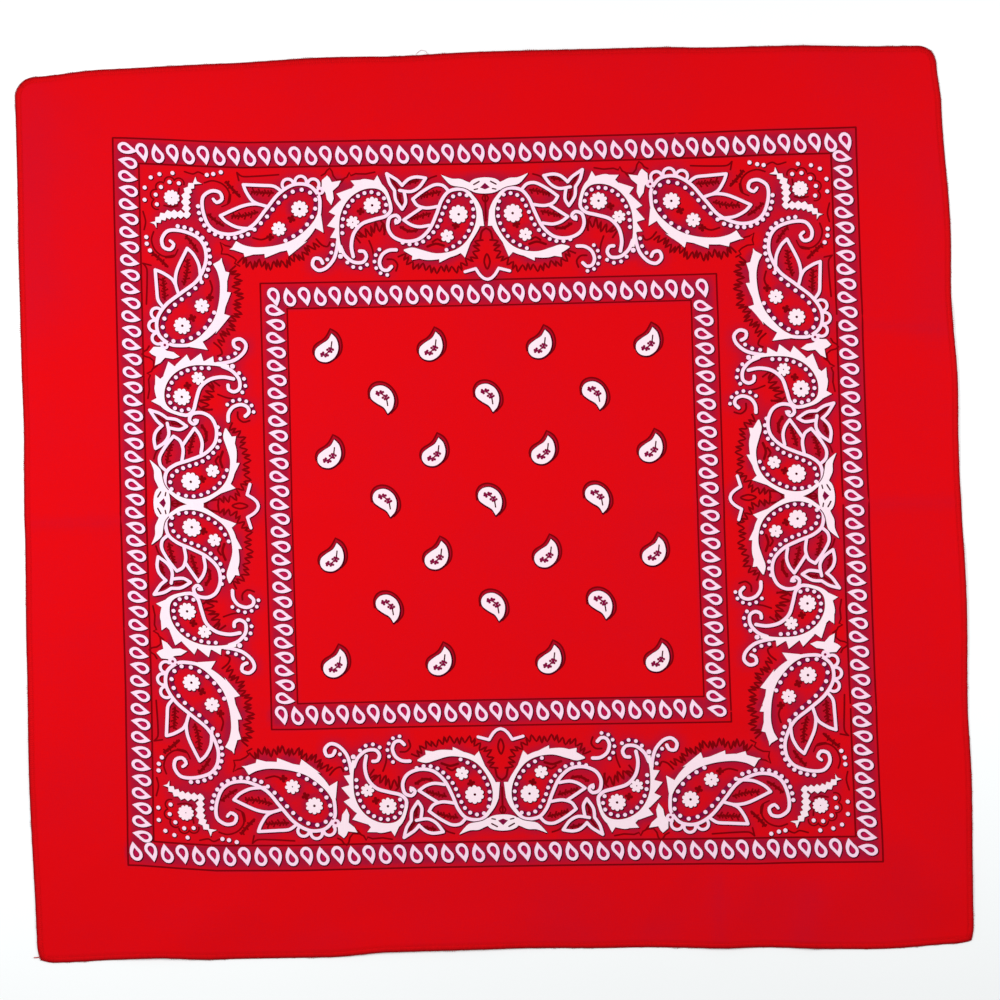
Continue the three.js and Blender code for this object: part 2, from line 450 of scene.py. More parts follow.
def band_between(left, right, closed=False):
    """Four-sided pieces between two borders, or two triangles where a piece would cross itself."""
    pieces = []
    count = len(left)
    for index in range(count if closed else count - 1):
        after = (index + 1) % count
        a, b, c, d = right[index], right[after], left[after], left[index]
        first, second = area_of([a, b, c]), area_of([a, c, d])
        third, fourth = area_of([a, b, d]), area_of([b, c, d])
        if min(first, second, third, fourth) > SMALLEST_AREA:
            pieces.append([a, b, c, d])
            continue
        if max(first, second, third, fourth) < -SMALLEST_AREA:
            pieces.append([d, c, b, a])
            continue
        for triangle, area in (([a, b, c], first), ([a, c, d], second)):
            if abs(area) > SMALLEST_AREA:
                pieces.append(triangle)
    return pieces


def spot_at(middle, reach, angle):
    """The point at a distance and an angle from the middle."""
    return middle[0] + reach * math.cos(angle), middle[1] + reach * math.sin(angle)


def disc(middle, radius, grow=0.0, sides=10):
    turn = math.pi / sides
    reach = radius + grow
    return [[spot_at(middle, reach, turn + 2 * math.pi * k / sides) for k in range(sides)]]


def stroke(points, width, grow=0.0, closed=False, ends=True, step=STROKE_STEP, straight=False):
    """A pen stroke. A point's third number is its own width, instead of the stroke's."""
    given = [tuple(p) if len(p) > 2 else (p[0], p[1], width) for p in points]
    line = given if straight else smooth_line(given, closed, step)
    widths = [max(LEAST_WIDTH, place[2]) + 2 * grow for place in line]
    left, right = sides_of(line, widths, closed)
    shapes = band_between(left, right, closed)
    if straight:
        for place, wide in zip(line[1:-1], widths[1:-1]):
            shapes += disc(place, wide / 2, sides=6)
    if ends and not closed:
        for place, wide in ((line[0], widths[0]), (line[-1], widths[-1])):
            if wide > ROUND_END:
                shapes += disc(place, wide / 2)
    return shapes


def patch(points, grow=0.0):
    """A filled shape. When it grows, a band along its border is added."""
    border = [tuple(p) for p in points]
    if area_of(border) < 0:
        border.reverse()
    shapes = [border]
    if grow:
        left, right = sides_of(border, [2 * grow] * len(border), closed=True)
        shapes += band_between(left, right, closed=True)
        for place in border:
            shapes += disc(place, grow, sides=6)
    return shapes


def blade(inner, outer, grow=0.0, step=1.7):
    """What lies between two smooth lines."""
    size = sum(math.dist(a, b) for a, b in zip(outer, outer[1:]))
    count = max(6, round(size / step))
    first = [(u, v) for u, v, _ in along(inner, count)]
    second = [(u, v) for u, v, _ in along(outer, count)]
    shapes = band_between(first, second)
    if grow:
        for line in (first, second, [first[0], second[0]], [first[-1], second[-1]]):
            if math.dist(line[0], line[-1]) > 0.05 or len(line) > 2:
                shapes += band_between(*sides_of(line, [2 * grow] * len(line)))
    return shapes


def flower(middle, radius, petals, depth, turn=0.0, grow=0.0):
    """A round flower with scalloped petals."""
    border = []
    steps = petals * PETAL_STEPS
    for k in range(steps):
        angle = 2 * math.pi * k / steps
        lobe = abs(math.sin(petals * angle / 2)) ** PETAL_ROUND
        reach = radius * (1 - depth + depth * lobe) + grow
        border.append(spot_at(middle, reach, angle + turn))
    return [border]


def along(points, count, start=0.0, end=1.0):
    """Places spread evenly over a smooth line, from one share of its length to another."""
    line = smooth_line(points, step=0.5)
    lengths = [0.0]
    for first, second in zip(line, line[1:]):
        lengths.append(lengths[-1] + math.dist(first[:2], second[:2]))
    places = []
    for k in range(count):
        share = start + (end - start) * (k / (count - 1) if count > 1 else 0.5)
        wanted = share * lengths[-1]
        index = max(i for i, value in enumerate(lengths) if value <= wanted + 1e-9)
        index = min(index, len(line) - 2)
        part = (wanted - lengths[index]) / max(lengths[index + 1] - lengths[index], 1e-9)
        first, second = line[index], line[index + 1]
        places.append(
            (
                first[0] + (second[0] - first[0]) * part,
                first[1] + (second[1] - first[1]) * part,
                math.atan2(second[1] - first[1], second[0] - first[0]),
            )
        )
    return places


def even(rows, at):
    """The value of the straight line between a table's rows."""
    if at <= rows[0][0]:
        return rows[0][1]
    for (low, first), (high, second) in zip(rows, rows[1:]):
        if at < high:
            return first + (second - first) * (at - low) / (high - low)
    return rows[-1][1]


# The layers of ink, from the first printed to the last
LAYERS = ("under", "bed", "echo", "line", "outline", "pale", "white", "hole", "detail", "core")
INKS = {
    "under": "maroon",
    "bed": "crimson",
    "echo": "wine",
    "line": "maroon",
    "outline": "dark",
    "pale": "pale",
    "white": "white",
    "hole": "crimson",
    "detail": "dark",
    "core": "rose",
}
print_shapes = {layer: [] for layer in LAYERS}
motif = {layer: [] for layer in LAYERS}
BROAD_SHAPES = ("patch", "blade", "flower", "toothed_leaf")


def white(draw, *args, **kwargs):
    """A white shape with its dark outline. Thin shapes took less of the bleach and stay a little pink."""
    motif["white" if draw.__name__ in BROAD_SHAPES else "pale"] += draw(*args, **kwargs)
    motif["outline"] += draw(*args, grow=OUTLINE, **kwargs)


def ink(layer, draw, *args, **kwargs):
    motif[layer] += draw(*args, **kwargs)


def pen_line(points, width=1.0, **kwargs):
    ink("under", stroke, points, width, **kwargs)


def blossom(middle, radius, petals, depth, heart, turn=0.0):
    """A white flower with a dark heart."""
    white(flower, middle, radius, petals, depth, turn)
    ink("detail", disc, middle, heart, sides=8)


def sprig(middle, radius, turn):
    ink("under", flower, middle, radius, 4, 0.5, turn)


def beads(points, count, radius=1.3):
    """A row of white dots on a dark red bed."""
    radius *= BEAD_SIZE
    ink("bed", stroke, points, 2 * radius)
    for u, v, _ in along(points, count):
        white(disc, (u, v), radius, sides=9)


def zigzag(points, count, height):
    """A dark line that swings from side to side of a smooth one, as a quick pen would."""
    steady, wander, turn = PEN_SWING
    swung = []
    for k, (u, v, angle) in enumerate(along(points, 2 * count + 1)):
        swing = height / 2 * (1 if k % 2 else -1) * (steady + wander * math.sin(turn * k))
        lean = PEN_LEAN[0] * math.sin(PEN_LEAN[1] * k)
        swung.append(
            (
                u - math.sin(angle) * swing + math.cos(angle) * lean,
                v + math.cos(angle) * swing + math.sin(angle) * lean,
            )
        )
    pen_line(swung, ZIGZAG_WIDTH, ends=False, step=1.5)


def feather(points, count, barb, width=1.3):
    """A leaf's dark vein with short barbs."""
    pen_line(points, width)
    steady, wander, turn = BARB_SWING
    for k, (u, v, angle) in enumerate(along(points, round(BARB_COUNT * count), 0.04, 0.96)):
        size = BARB_SIZE * barb * (steady + wander * math.sin(turn * k))
        tip = spot_at((u, v), size, angle + (BARB_TURN if k % 2 else -BARB_TURN))
        pen_line([(u, v), tip], BARB_WIDTH, straight=True, ends=False)


def as_drawn(u, v):
    return u, v


def place_motif(ways):
    """Prints what was just drawn once for each way, and clears the table for the next motif."""
    for change in ways:
        for layer in LAYERS:
            for polygon in motif[layer]:
                print_shapes[layer].append([change(u, v) for u, v in polygon])
    for layer in LAYERS:
        motif[layer] = []


# How the real print differs from a half side that is mirrored and turned round the square: how far
# each half side lies nearer to its own axis, and how far out. The upright sides carry their third
# paisley further out.
HALF_SIDES = (
    # side, half, nearer to the axis, out, own step out
    ("back", -1, 0.6, -0.6, 0.0),
    ("back", 1, 1.5, -0.6, 0.0),
    ("front", -1, 0.3, 1.2, 0.0),
    ("front", 1, 1.7, 1.2, 0.0),
    ("left", 1, 3.0, 1.4, 1.9),
    ("left", -1, 3.6, 1.3, 1.9),
    ("right", 1, 3.8, 1.2, 1.8),
    ("right", -1, 3.3, 0.8, 1.9),
)


def half_side_way(side, half, nearer, out):
    """Takes the drawn half side, at the left of the back side, to one of the eight half sides."""

    def change(u, v):
        place = half * (-u - nearer)
        level = v + out
        if side == "back":
            return place, level
        if side == "front":
            return place, -level
        if side == "left":
            return -level, place
        return level, place

    return change


def half_sides(own_share=0.0):
    """The eight ways of a half side, with all or none of each one's own step out."""
    ways = []
    for side, half, nearer, out, own in HALF_SIDES:
        ways.append(half_side_way(side, half, nearer, out + own_share * own))
    return ways


def whole_sides():
    """For motifs that lie across a side's own axis: one for each side."""
    return [
        lambda u, v: (u - 0.45, v - 0.6),
        lambda u, v: (u - 0.7, -v - 1.2),
        lambda u, v: (-v - 3.3, u + 0.3),
        lambda u, v: (v + 2.9, u - 0.3),
    ]


def corner_ways():
    return [
        as_drawn,
        lambda u, v: (-u, v - 0.9),
        lambda u, v: (u, -v - 1.1),
        lambda u, v: (-u - 0.8, -v - 0.85),
    ]


# The corner motif: a flower in a ring of dots, held by an angle of two toothed leaves


def toothed_leaf(points, widths, teeth, bite, tips, grow=0.0):
    """A leaf with teeth on both sides that ends in a fork of two tips."""
    spots = along(points, 2 * teeth + 1)
    line = []
    sizes = []
    for k, (u, v, _) in enumerate(spots):
        share = k / (2 * teeth)
        line.append((u, v))
        sizes.append(even(widths, share) + (bite if k % 2 else -bite) + 2 * grow)
    left, right = sides_of(line, sizes)
    shapes = band_between(left, right)
    end = line[-1]
    middle = ((tips[0][0] + tips[1][0]) / 2, (tips[0][1] + tips[1][1]) / 2)
    notch = ((middle[0] * 2 + end[0]) / 3, (middle[1] * 2 + end[1]) / 3)
    shapes += patch([left[-1], right[-1], tips[1], notch], grow)
    shapes += patch([left[-1], notch, tips[0]], grow)
    return shapes


CORNER_DOTS = (
    (-198.0, 196.8), (-192.8, 199.0), (-185.1, 200.0), (-187.0, 194.5), (-181.5, 194.0),
    (-192.1, 191.2), (-195.3, 186.5), (-194.7, 180.7), (-201.7, 190.5), (-201.9, 183.1),
)
RINGED_DOTS = CORNER_DOTS[3:8]
CORNER_FLOWER = (-185.9, 185.1)
RING_REACH = 3.1
RING_STEPS = 8
RING_TURN = 2.9
SIDE_DOTS = (
    (-164.8, 199.8), (-161, 200.5), (-156.5, 201.7), (-201.4, 160.6), (-201.2, 156.6), (-199.4, 152.6),
)


def draw_corner():
    blossom(CORNER_FLOWER, 4.7, 11, 0.19, 0.35)
    for middle in CORNER_DOTS:
        white(disc, middle, 1.24, sides=9)
    for middle in SIDE_DOTS:
        white(disc, middle, 1.28, sides=9)
    upright = [(-176.6, 173.6), (-177.5, 180), (-177.3, 186.5), (-175.7, 191), (-172.8, 194.2)]
    level = [(-175.4, 174.9), (-182, 175.2), (-188.6, 174.6), (-192.8, 172.4), (-195.6, 170)]
    sizes = ((0.0, 2.4), (0.2, 3.6), (0.5, 4.4), (0.8, 3.8), (1.0, 2.4))
    white(toothed_leaf, upright, sizes, 6, 1.5, ((-171.6, 198.4), (-168, 194.4)))
    white(toothed_leaf, level, sizes, 6, 1.5, ((-195.2, 166.4), (-198.8, 169.5)))
    # A dark pen line loops round each dot of the ring.
    for u, v in RINGED_DOTS:
        facing = math.atan2(v - CORNER_FLOWER[1], u - CORNER_FLOWER[0])
        loop = []
        for k in range(RING_STEPS + 1):
            loop.append(spot_at((u, v), RING_REACH, facing + (k / RING_STEPS - 0.5) * RING_TURN))
        pen_line(loop, 0.9, ends=False)
    # A jagged pen line lies between the first paisleys of two sides.
    jagged = [(-152, 156.9), (-154.9, 157.5), (-157.7, 159.1), (-156.7, 155.3), (-157.3, 152.4)]
    jagged += [(-153.6, 152.1), (-150.4, 150.5), (-148.6, 148.9), (-149.6, 146.9), (-146.7, 145.3)]
    pen_line(jagged, straight=True)
    for line in (
        [(-178, 201.2), (-173, 200), (-170, 201.4), (-166.6, 200)],
        [(-203, 176), (-201.6, 170), (-202.6, 165)],
        [(-181.4, 191), (-181.8, 187), (-181.2, 182.6)],
        [(-190.5, 180.2), (-186, 179.4), (-182.4, 180.4)],
    ):
        pen_line(line, 0.95)


# The three paisleys of a half side, the leaves between them and the wing on the side's axis. An
# arch on a paisley's back starts a little below the level and runs on past half a turn.
ARCH_RADIUS = 3.4
ARCH_STEPS = 7
ARCH_SPAN = (-0.08, 1.16)


def draw_first_paisley():
    outline = [
        (-162, 186, 1.7), (-160, 183.9, 2.0), (-156.8, 186), (-158, 190), (-163, 190.8),
        (-168, 187), (-168.3, 179), (-165, 170), (-159, 165.7), (-150, 165.3), (-139, 170.5),
        (-131, 180), (-123, 189.5), (-114, 194.8), (-105, 194), (-99.5, 187.5), (-99, 181),
        (-99.6, 176),
    ]
    white(stroke, outline, PAISLEY_LINE)
    inner = [(-100.4, 177), (-103.2, 172), (-108.5, 166.5), (-116, 161.2)]
    inner += [(-126, 158.1), (-137, 157.2), (-144.5, 158.6), (-149, 161)]
    outer = [(-98.2, 178), (-100.4, 171.5), (-105, 164), (-112.5, 157.2)]
    outer += [(-122, 154.6), (-132.5, 153.2), (-142, 153.2), (-152, 156)]
    white(blade, inner, outer)
    for tooth in (
        ((-98.4, 176), (-97.2, 165.4), (-104, 169.5)),
        ((-107, 160.5), (-118, 151.7), (-119.4, 156.2)),
        ((-119.6, 155.8), (-132.2, 150.8), (-132.6, 155)),
        ((-132.8, 154.6), (-144.2, 151.5), (-145.4, 156)),
        ((-150, 158), (-153, 155.8), (-144, 155)),
    ):
        white(patch, tooth)
    # Two open leaves grow from the paisley's back.
    for line in (
        [(-122, 191.3), (-126, 194), (-133, 194.6), (-144, 195.2)],
        [(-144, 195.2), (-142.5, 191), (-139, 185.5), (-135.5, 183.4)],
        [(-130.2, 181.8), (-137, 183.5), (-145, 182.2), (-158, 176)],
        [(-158, 176), (-154.5, 172.4), (-148, 169.3), (-139.5, 168.6)],
    ):
        white(stroke, line, LEAF_LINE)
    feather([(-139, 190.8), (-133, 190.2), (-126.5, 190)], 11, 2.3)
    feather([(-151, 176), (-144, 176.4), (-136, 178.4)], 12, 2.3)
    # Dots outside the curl and inside the paisley
    outside = [(-171, 181.3), (-169.8, 174.3), (-165.8, 167.8)]
    outside += [(-158.7, 163.7), (-151, 162.8), (-141.8, 165.2)]
    beads(outside, 11, radius=1.45)
    inside = [
        (-138, 168), (-131, 175), (-124, 183.5), (-116, 190), (-107.5, 191.4), (-101.8, 186.5),
        (-101.8, 180), (-104.8, 173.5), (-110.5, 166.6), (-119.8, 161),
    ]
    beads(inside, 16, radius=1.4)
    blossom((-111, 180), 5.1, 10, 0.22, 0.8)
    blossom((-123.6, 168.2), 4.4, 8, 0.3, 0.45, 0.3)
    sprig((-116, 174), 2.5, 0.4)
    sprig((-128.8, 163.3), 2.4, 0.7)
    pen_line([(-139, 163), (-134, 161.8), (-130, 163.2)], 1.1)
    # Three arches and a small loop stand on the paisley's back.
    for middle, turn in (((-117.6, 194.8), 0.45), ((-110, 196.4), 0.0), ((-102.6, 194.6), -0.5)):
        arch = []
        for k in range(ARCH_STEPS + 1):
            angle = turn + math.pi * (k / ARCH_STEPS * ARCH_SPAN[1] + ARCH_SPAN[0])
            arch.append(spot_at(middle, ARCH_RADIUS, angle))
        white(stroke, arch, 1.8, ends=False)
        ink("echo", disc, (middle[0], middle[1] + 0.6), 2.8, sides=10)
    white(disc, (-98.6, 190.8), 2.5, sides=14)
    ink("hole", disc, (-98.8, 190.6), 0.85, sides=9)
    ink("hole", disc, (-100.4, 188.2), 0.6, sides=7)
    # Dark pen lines round it
    pen_line([(-167, 195.6), (-162, 197), (-156, 195), (-152.4, 190), (-153.4, 183.6)])
    pen_line([(-157, 181.5), (-152.5, 184), (-151.6, 189)], 0.8)
    feather([(-154, 196.5), (-150.6, 192.4), (-146.4, 188)], 9, 1.7, width=1.6)
    pen_line([(-147.6, 202.4), (-144.6, 200.2), (-136, 200.2), (-123, 200.9)])
    pen_line([(-147.6, 202.4), (-146.6, 197.6)])
    feather([(-165, 176.5), (-160.5, 172.6), (-156.4, 170)], 9, 1.5, width=1.4)
    fringe = [(-147.6, 149.6), (-143, 147.6), (-137, 147.0), (-126, 146.4)]
    fringe += [(-117, 148.8), (-109.4, 152.6), (-102, 159)]
    zigzag(fringe, 18, 6.0)
    pen_line([(-101.6, 161.6), (-98.4, 158), (-95, 157), (-93.6, 159.6)], 1.1)


def draw_trefoil():
    leaf = [
        (-92.2, 182.0), (-94.8, 185.6), (-95.4, 189.4), (-97.6, 192.8), (-97.4, 197.2),
        (-94.2, 199.9), (-92.8, 198.4), (-91.6, 195.9), (-86.2, 196.7), (-87.8, 193.6),
        (-91.2, 190.6), (-90.7, 186),
    ]
    white(patch, leaf)
    jagged = [(-97.7, 199.9), (-95.5, 201.1), (-94.3, 203), (-92.6, 204.3)]
    jagged += [(-91.3, 202.4), (-90.7, 199.7), (-88.8, 197.3)]
    jagged += [(-85, 197.6), (-86, 195.5), (-84.1, 198.1), (-82.6, 198.8), (-81.2, 201.3), (-80.1, 199.6)]
    jagged += [(-77.4, 200.7), (-71.5, 200.3), (-66, 201.3)]
    pen_line(jagged, straight=True)


def draw_second_paisley():
    inner = [
        (-86, 153), (-87.6, 160), (-87.9, 168), (-87.2, 175), (-84.6, 181.6), (-80.2, 187),
        (-74.6, 190.4), (-69, 191.6), (-63.6, 190.8), (-60.2, 187.6), (-58.3, 182),
    ]
    outer = [
        (-88.4, 153), (-89.6, 160), (-90.4, 168), (-90, 176), (-86.4, 185), (-80.2, 191.6),
        (-74.4, 197), (-68, 196.6), (-62.2, 194.2), (-58.6, 189.4), (-56.3, 182),
    ]
    white(blade, inner, outer)
    for spike in (
        ((-67, 195.4), (-64.5, 199.4), (-61.4, 193)),
        ((-73, 196.9), (-80.4, 196.6), (-76.6, 191.6)),
        ((-80, 192), (-89, 188.8), (-85.4, 184)),
        ((-86.8, 184.8), (-93.8, 177.8), (-89, 175.4)),
        ((-89.8, 176), (-95, 169.4), (-89.4, 167.8)),
        ((-90, 168), (-93.4, 162.3), (-88.8, 161.8)),
    ):
        white(patch, spike)
    lower = [
        (-57.4, 182), (-57.2, 178), (-60.5, 174.6), (-67, 172.8), (-74.5, 170.2), (-79.4, 164.5),
        (-81, 157), (-80, 150.6),
    ]
    white(stroke, lower, 2.1)
    curl = [
        (-87.4, 157), (-85, 151.6), (-80, 147.4), (-74.4, 147.2), (-72.2, 150.4), (-73.6, 153.6),
        (-76.2, 153.9),
    ]
    white(stroke, curl, PAISLEY_LINE)
    tail = [
        (-89, 160), (-89.7, 155), (-91.8, 149), (-96.4, 144), (-101, 142.8), (-104.2, 146),
        (-103, 149.9), (-99.6, 149.6), (-98.2, 147),
    ]
    white(stroke, tail, PAISLEY_LINE)
    white(disc, (-87.6, 151), 1.5, sides=9)
    beads([(-91.9, 158), (-92.8, 153.6), (-95.4, 149.2)], 3)
    beads([(-83.6, 147.2), (-80, 144.3), (-76, 143.7), (-72, 145.6)], 4)
    inside = [
        (-86.1, 165), (-85.7, 172.6), (-82.8, 180.4), (-77.4, 186.4), (-70, 189.3), (-63, 187.6),
        (-59.8, 183), (-60.8, 177.4),
    ]
    beads(inside, 13, radius=1.35)
    blossom((-68, 181.3), 5.2, 10, 0.22, 0.8)
    blossom((-79.8, 171.4), 4.0, 7, 0.34, 0.4, 0.5)
    sprig((-75, 177.8), 2.4, 0.6)
    zigzag([(-77.6, 160.5), (-73.4, 165), (-67, 167), (-61, 167)], 6, 7.4)
    pen_line([(-63, 171.6), (-60.6, 168.6), (-61.4, 163.6)], 1.1)
    pen_line([(-70.4, 160), (-68.6, 155), (-68, 151)])
    # The small comma that stands before the second paisley
    comma = [(-54.5, 154.3), (-59, 154), (-63, 151.2), (-64.6, 146.4)]
    comma += [(-63, 142.6), (-60, 142), (-57.6, 144.2)]
    white(stroke, comma, PAISLEY_LINE)
    beads([(-64.4, 154.6), (-67.2, 150), (-67.2, 145), (-64.6, 140.6), (-60.2, 139.2)], 6, radius=1.25)
    pen_line([(-60, 148.6), (-56.4, 148.4), (-54, 145.4), (-55, 141.6)], 1.1)


def draw_three_leaves():
    for line in (
        [(-50, 193.2), (-53, 196.5), (-59, 200.4)],
        [(-59, 200.4), (-57.4, 194.6), (-54.6, 190.2)],
        [(-50, 193.4), (-46, 197), (-41.5, 198.2), (-36, 197.4)],
        [(-36, 197.4), (-40, 192), (-45, 189.4), (-51.6, 190.2)],
        [(-54.6, 190.2), (-54, 184.5), (-50.4, 178.8)],
        [(-50.4, 178.8), (-48.2, 183), (-49, 189.6)],
    ):
        white(stroke, line, LEAF_LINE)
    feather([(-48.6, 194.2), (-45, 195), (-40.6, 195.8)], 8, 1.5)
    feather([(-51.8, 187.6), (-51.4, 184.6), (-50.8, 182)], 5, 1.1)
    pen_line([(-55.4, 196), (-53.4, 192.8), (-52, 191.2)], 1.2)
    pen_line([(-37.6, 193.4), (-34, 197), (-29.6, 198.6)])


def draw_third_paisley():
    outline = [
        (-54.2, 172.4, 1.7), (-54.4, 170.4, 2.0), (-51.9, 172.6), (-54, 175.2), (-58, 173.6),
        (-59, 167.6), (-56, 162.2), (-49, 159.4), (-41, 160.6), (-34.5, 166.6), (-30.2, 175.4),
        (-26.8, 184), (-22, 189.4), (-14, 190.3), (-9.6, 186.8),
    ]
    white(stroke, outline, PAISLEY_LINE)
    inner = [(-12, 188), (-8.2, 182.6), (-6.5, 176), (-7.4, 169), (-10.8, 161.8), (-15.6, 156.2)]
    inner += [(-22, 152.9), (-31, 151.8), (-39.4, 154), (-45, 155.6), (-50, 154.4)]
    outer = [(-9.8, 188.6), (-5.2, 182.4), (-3, 175.6), (-4.6, 168), (-8.8, 160.6), (-13.6, 154)]
    outer += [(-19.4, 150.4), (-28, 148.4), (-37, 147.9), (-44, 150), (-50, 153.6)]
    white(blade, inner, outer)
    for tooth in (
        ((-3.2, 178), (-2.2, 167.9), (-7, 168)),
        ((-9.6, 160.5), (-14, 149), (-17.6, 153)),
        ((-21.5, 150), (-29.2, 146.2), (-29.4, 150.6)),
        ((-37.6, 149.4), (-45.4, 148), (-45, 151.4)),
    ):
        white(patch, tooth)
    for line in (
        [(-23, 189.8), (-26, 192.8), (-31, 193.2), (-38, 189.4), (-44, 184.8)],
        [(-44, 184.8), (-41.4, 181), (-36, 179.3), (-29, 180.2)],
        [(-38.4, 179.8), (-43, 176.8), (-49.6, 172.3)],
        [(-49.6, 172.3), (-45.6, 169.4), (-40.6, 168), (-34.6, 168.8)],
    ):
        white(stroke, line, LEAF_LINE)
    feather([(-39, 186.2), (-34, 187.8), (-27.6, 189)], 10, 2.1)
    feather([(-45, 173), (-40, 174.4), (-34, 176)], 10, 1.9)
    feather([(-51.4, 168), (-46.6, 165.4), (-42, 166)], 7, 1.3, width=1.6)
    back = [
        (-12, 186.6), (-17.6, 187.2), (-22.6, 183.8), (-26.2, 176.8), (-28.8, 169.8), (-32.8, 164),
        (-38.6, 159), (-45, 157.4), (-50.6, 158.6),
    ]
    beads(back, 14, radius=1.35)
    belly = [(-9.2, 182.6), (-8.2, 176), (-9.2, 170), (-12.6, 163), (-17.4, 157.8), (-24.8, 153.8)]
    beads(belly, 9, radius=1.3)
    white(flower, (-17.2, 175.2), 5.6, 10, 0.19)
    ink("detail", disc, (-17, 175.2), 0.8, sides=8)
    blossom((-24.2, 162.2), 4.0, 6, 0.34, 0.4, 0.2)
    sprig((-19, 168.3), 2.4, 0.5)
    pen_line([(-36, 156), (-31, 157.6), (-26.4, 156.4)], 1.5)
    pen_line([(-33, 158.6), (-30, 160.4), (-27.6, 159)], 1.2)
    fringe = [(-52.4, 151.4), (-47.4, 147), (-40, 143.4), (-31, 142.2), (-22, 142)]
    fringe += [(-15, 144), (-9.8, 148.6), (-7, 154), (-5, 160)]
    zigzag(fringe, 17, 5.2)


def draw_axis():
    """The wing and the pen lines that lie across a side's axis, drawn for one half and mirrored."""
    for side in (-1, 1):
        wing_over = ((25.6, 199.2), (19.4, 196.8), (14.4, 196.6), (9.4, 194.4), (6, 194))
        wing_under = ((25.2, 198.4), (20.2, 193), (14.4, 191.7), (10, 189.8), (6, 189))
        body_over = ((10.4, 192.6), (7.4, 195.8), (3.6, 197), (0, 197.3))
        body_under = ((10.4, 191.4), (7.4, 188.8), (3.6, 187.7), (0, 187.5))
        for over, under in ((wing_over, wing_under), (body_over, body_under)):
            upper = [(u * side, v) for u, v in over]
            lower = [(u * side, v) for u, v in under]
            white(blade, upper, lower)
        ink("detail", stroke, [(side * 3.4, 194.8), (side * 6.6, 193)], 0.9, straight=True)
        ink("detail", stroke, [(side * 4.4, 190.4), (side * 6.4, 190)], 0.8, straight=True)
        parting = ((18.3, 191.8), (15.4, 191.6), (12.4, 191), (10, 189.9), (8.2, 188.4))
        ink("detail", stroke, [(u * side, v) for u, v in parting], 0.55)
        pen_line([(0, 166.6), (side * 2.6, 164.6), (side * 3.6, 160)], 1.2)
        bracket = [(side * 6.8, 142.2), (side * 4.6, 138.6), (side * 2.2, 136.3), (0, 135.6)]
        white(stroke, bracket, 1.8)
        white(stroke, [(side * 13.2, 140.4), (side * 6.8, 142.2)], 1.8, straight=True)
    ink("hole", patch, [(-2.9, 191.2), (0, 190), (2.9, 191.2), (0, 194)])
    pen_line([(0, 188), (0, 180), (0, 171)], 1.1)
    pen_line([(0, 187), (-1.8, 184.8), (0, 182.2), (1.8, 184.8)], 0.9, closed=True)
    pen_line([(0, 151), (-1.7, 146.4), (0, 141.8), (1.7, 146.4)], 1.1, closed=True)


draw_corner()
place_motif(corner_ways())
draw_first_paisley()
draw_trefoil()
draw_second_paisley()
draw_three_leaves()
place_motif(half_sides())
draw_third_paisley()
place_motif(half_sides(own_share=1.0))
draw_axis()
place_motif(whole_sides())

# The rows of small teardrops between the frame lines: the row's own line, where it starts and ends
# along the side, how many, and where the first one's tip points. Tips alternate.
TEAR_ROWS = (
    ("across", 211.5, -202.8, 213.7, 47, "low"),
    ("across", -211.5, -215.5, 202.2, 47, "high"),
    ("up", -211.5, -202.0, 213.7, 50, "low"),
    ("up", 211.5, -212.5, 202.9, 50, "low"),
    ("across", 126.4, -126.9, 126.3, 29, "low"),
    ("across", -126.4, -128.7, 114.1, 28, "low"),
    ("up", -126.4, -116.2, 118.3, 29, "high"),
    ("up", 126.4, -127.8, 115.6, 30, "low"),
)
TEAR = (
    (-2.1, 5.9), (-3.6, 2.6), (-4.0, -0.6), (-3.0, -3.9), (-0.6, -5.8), (2.2, -5.6), (3.9, -3.2),
    (3.5, -0.4), (1.2, 2.2), (-2.1, 5.9),
)
TEAR_SIZE = (0.94, 0.97)
TEAR_UPRIGHT_SIDE = (0.99, 0.94)
TEAR_REACH = (4.2, 5.2)
TEAR_STAGGER = 0.3
TEAR_HOLE_SIZE = (0.48, 0.5)
TEAR_HOLE_BACK = 0.9
TEAR_CORE_SIZE = (0.34, 0.37)
TEAR_CORE_SHIFT = (0.2, -0.2)


def teardrop(middle, sign, upright, size, back=0.0, grow=0.0):
    """A drop that leans to one side. On the upright sides it lies on its side."""
    placed = []
    for across, up in smooth_line(TEAR, step=1.9)[:-1]:
        u = across * size[0] * (1 + grow / TEAR_REACH[0])
        v = up * size[1] * (1 + grow / TEAR_REACH[1]) - back
        if upright:
            u, v = v * TEAR_UPRIGHT_SIDE[0], u * TEAR_UPRIGHT_SIDE[1]
        placed.append((middle[0] + sign * u, middle[1] + sign * v))
    return [placed]


def draw_teardrops():
    for way, line, start, end, count, first in TEAR_ROWS:
        for k in range(count):
            place = start + (end - start) * k / (count - 1)
            sign = -1 if (first == "low") == (k % 2 == 0) else 1
            upright = way == "up"
            place += sign * TEAR_STAGGER
            middle = (line, place) if upright else (place, line)
            core = (middle[0] + TEAR_CORE_SHIFT[0], middle[1] + TEAR_CORE_SHIFT[1])
            white(teardrop, middle, sign, upright, TEAR_SIZE)
            ink("hole", teardrop, middle, sign, upright, TEAR_HOLE_SIZE, TEAR_HOLE_BACK)
            ink("core", teardrop, core, sign, upright, TEAR_CORE_SIZE, TEAR_HOLE_BACK)


draw_teardrops()
place_motif([as_drawn])

# The frame lines, each a dark square drawn with four strokes
FRAME_STEPS = 60
FRAME_LINES = ((220.0, 1.0), (204.9, 1.0), (134.8, 0.95), (119.3, 0.9))


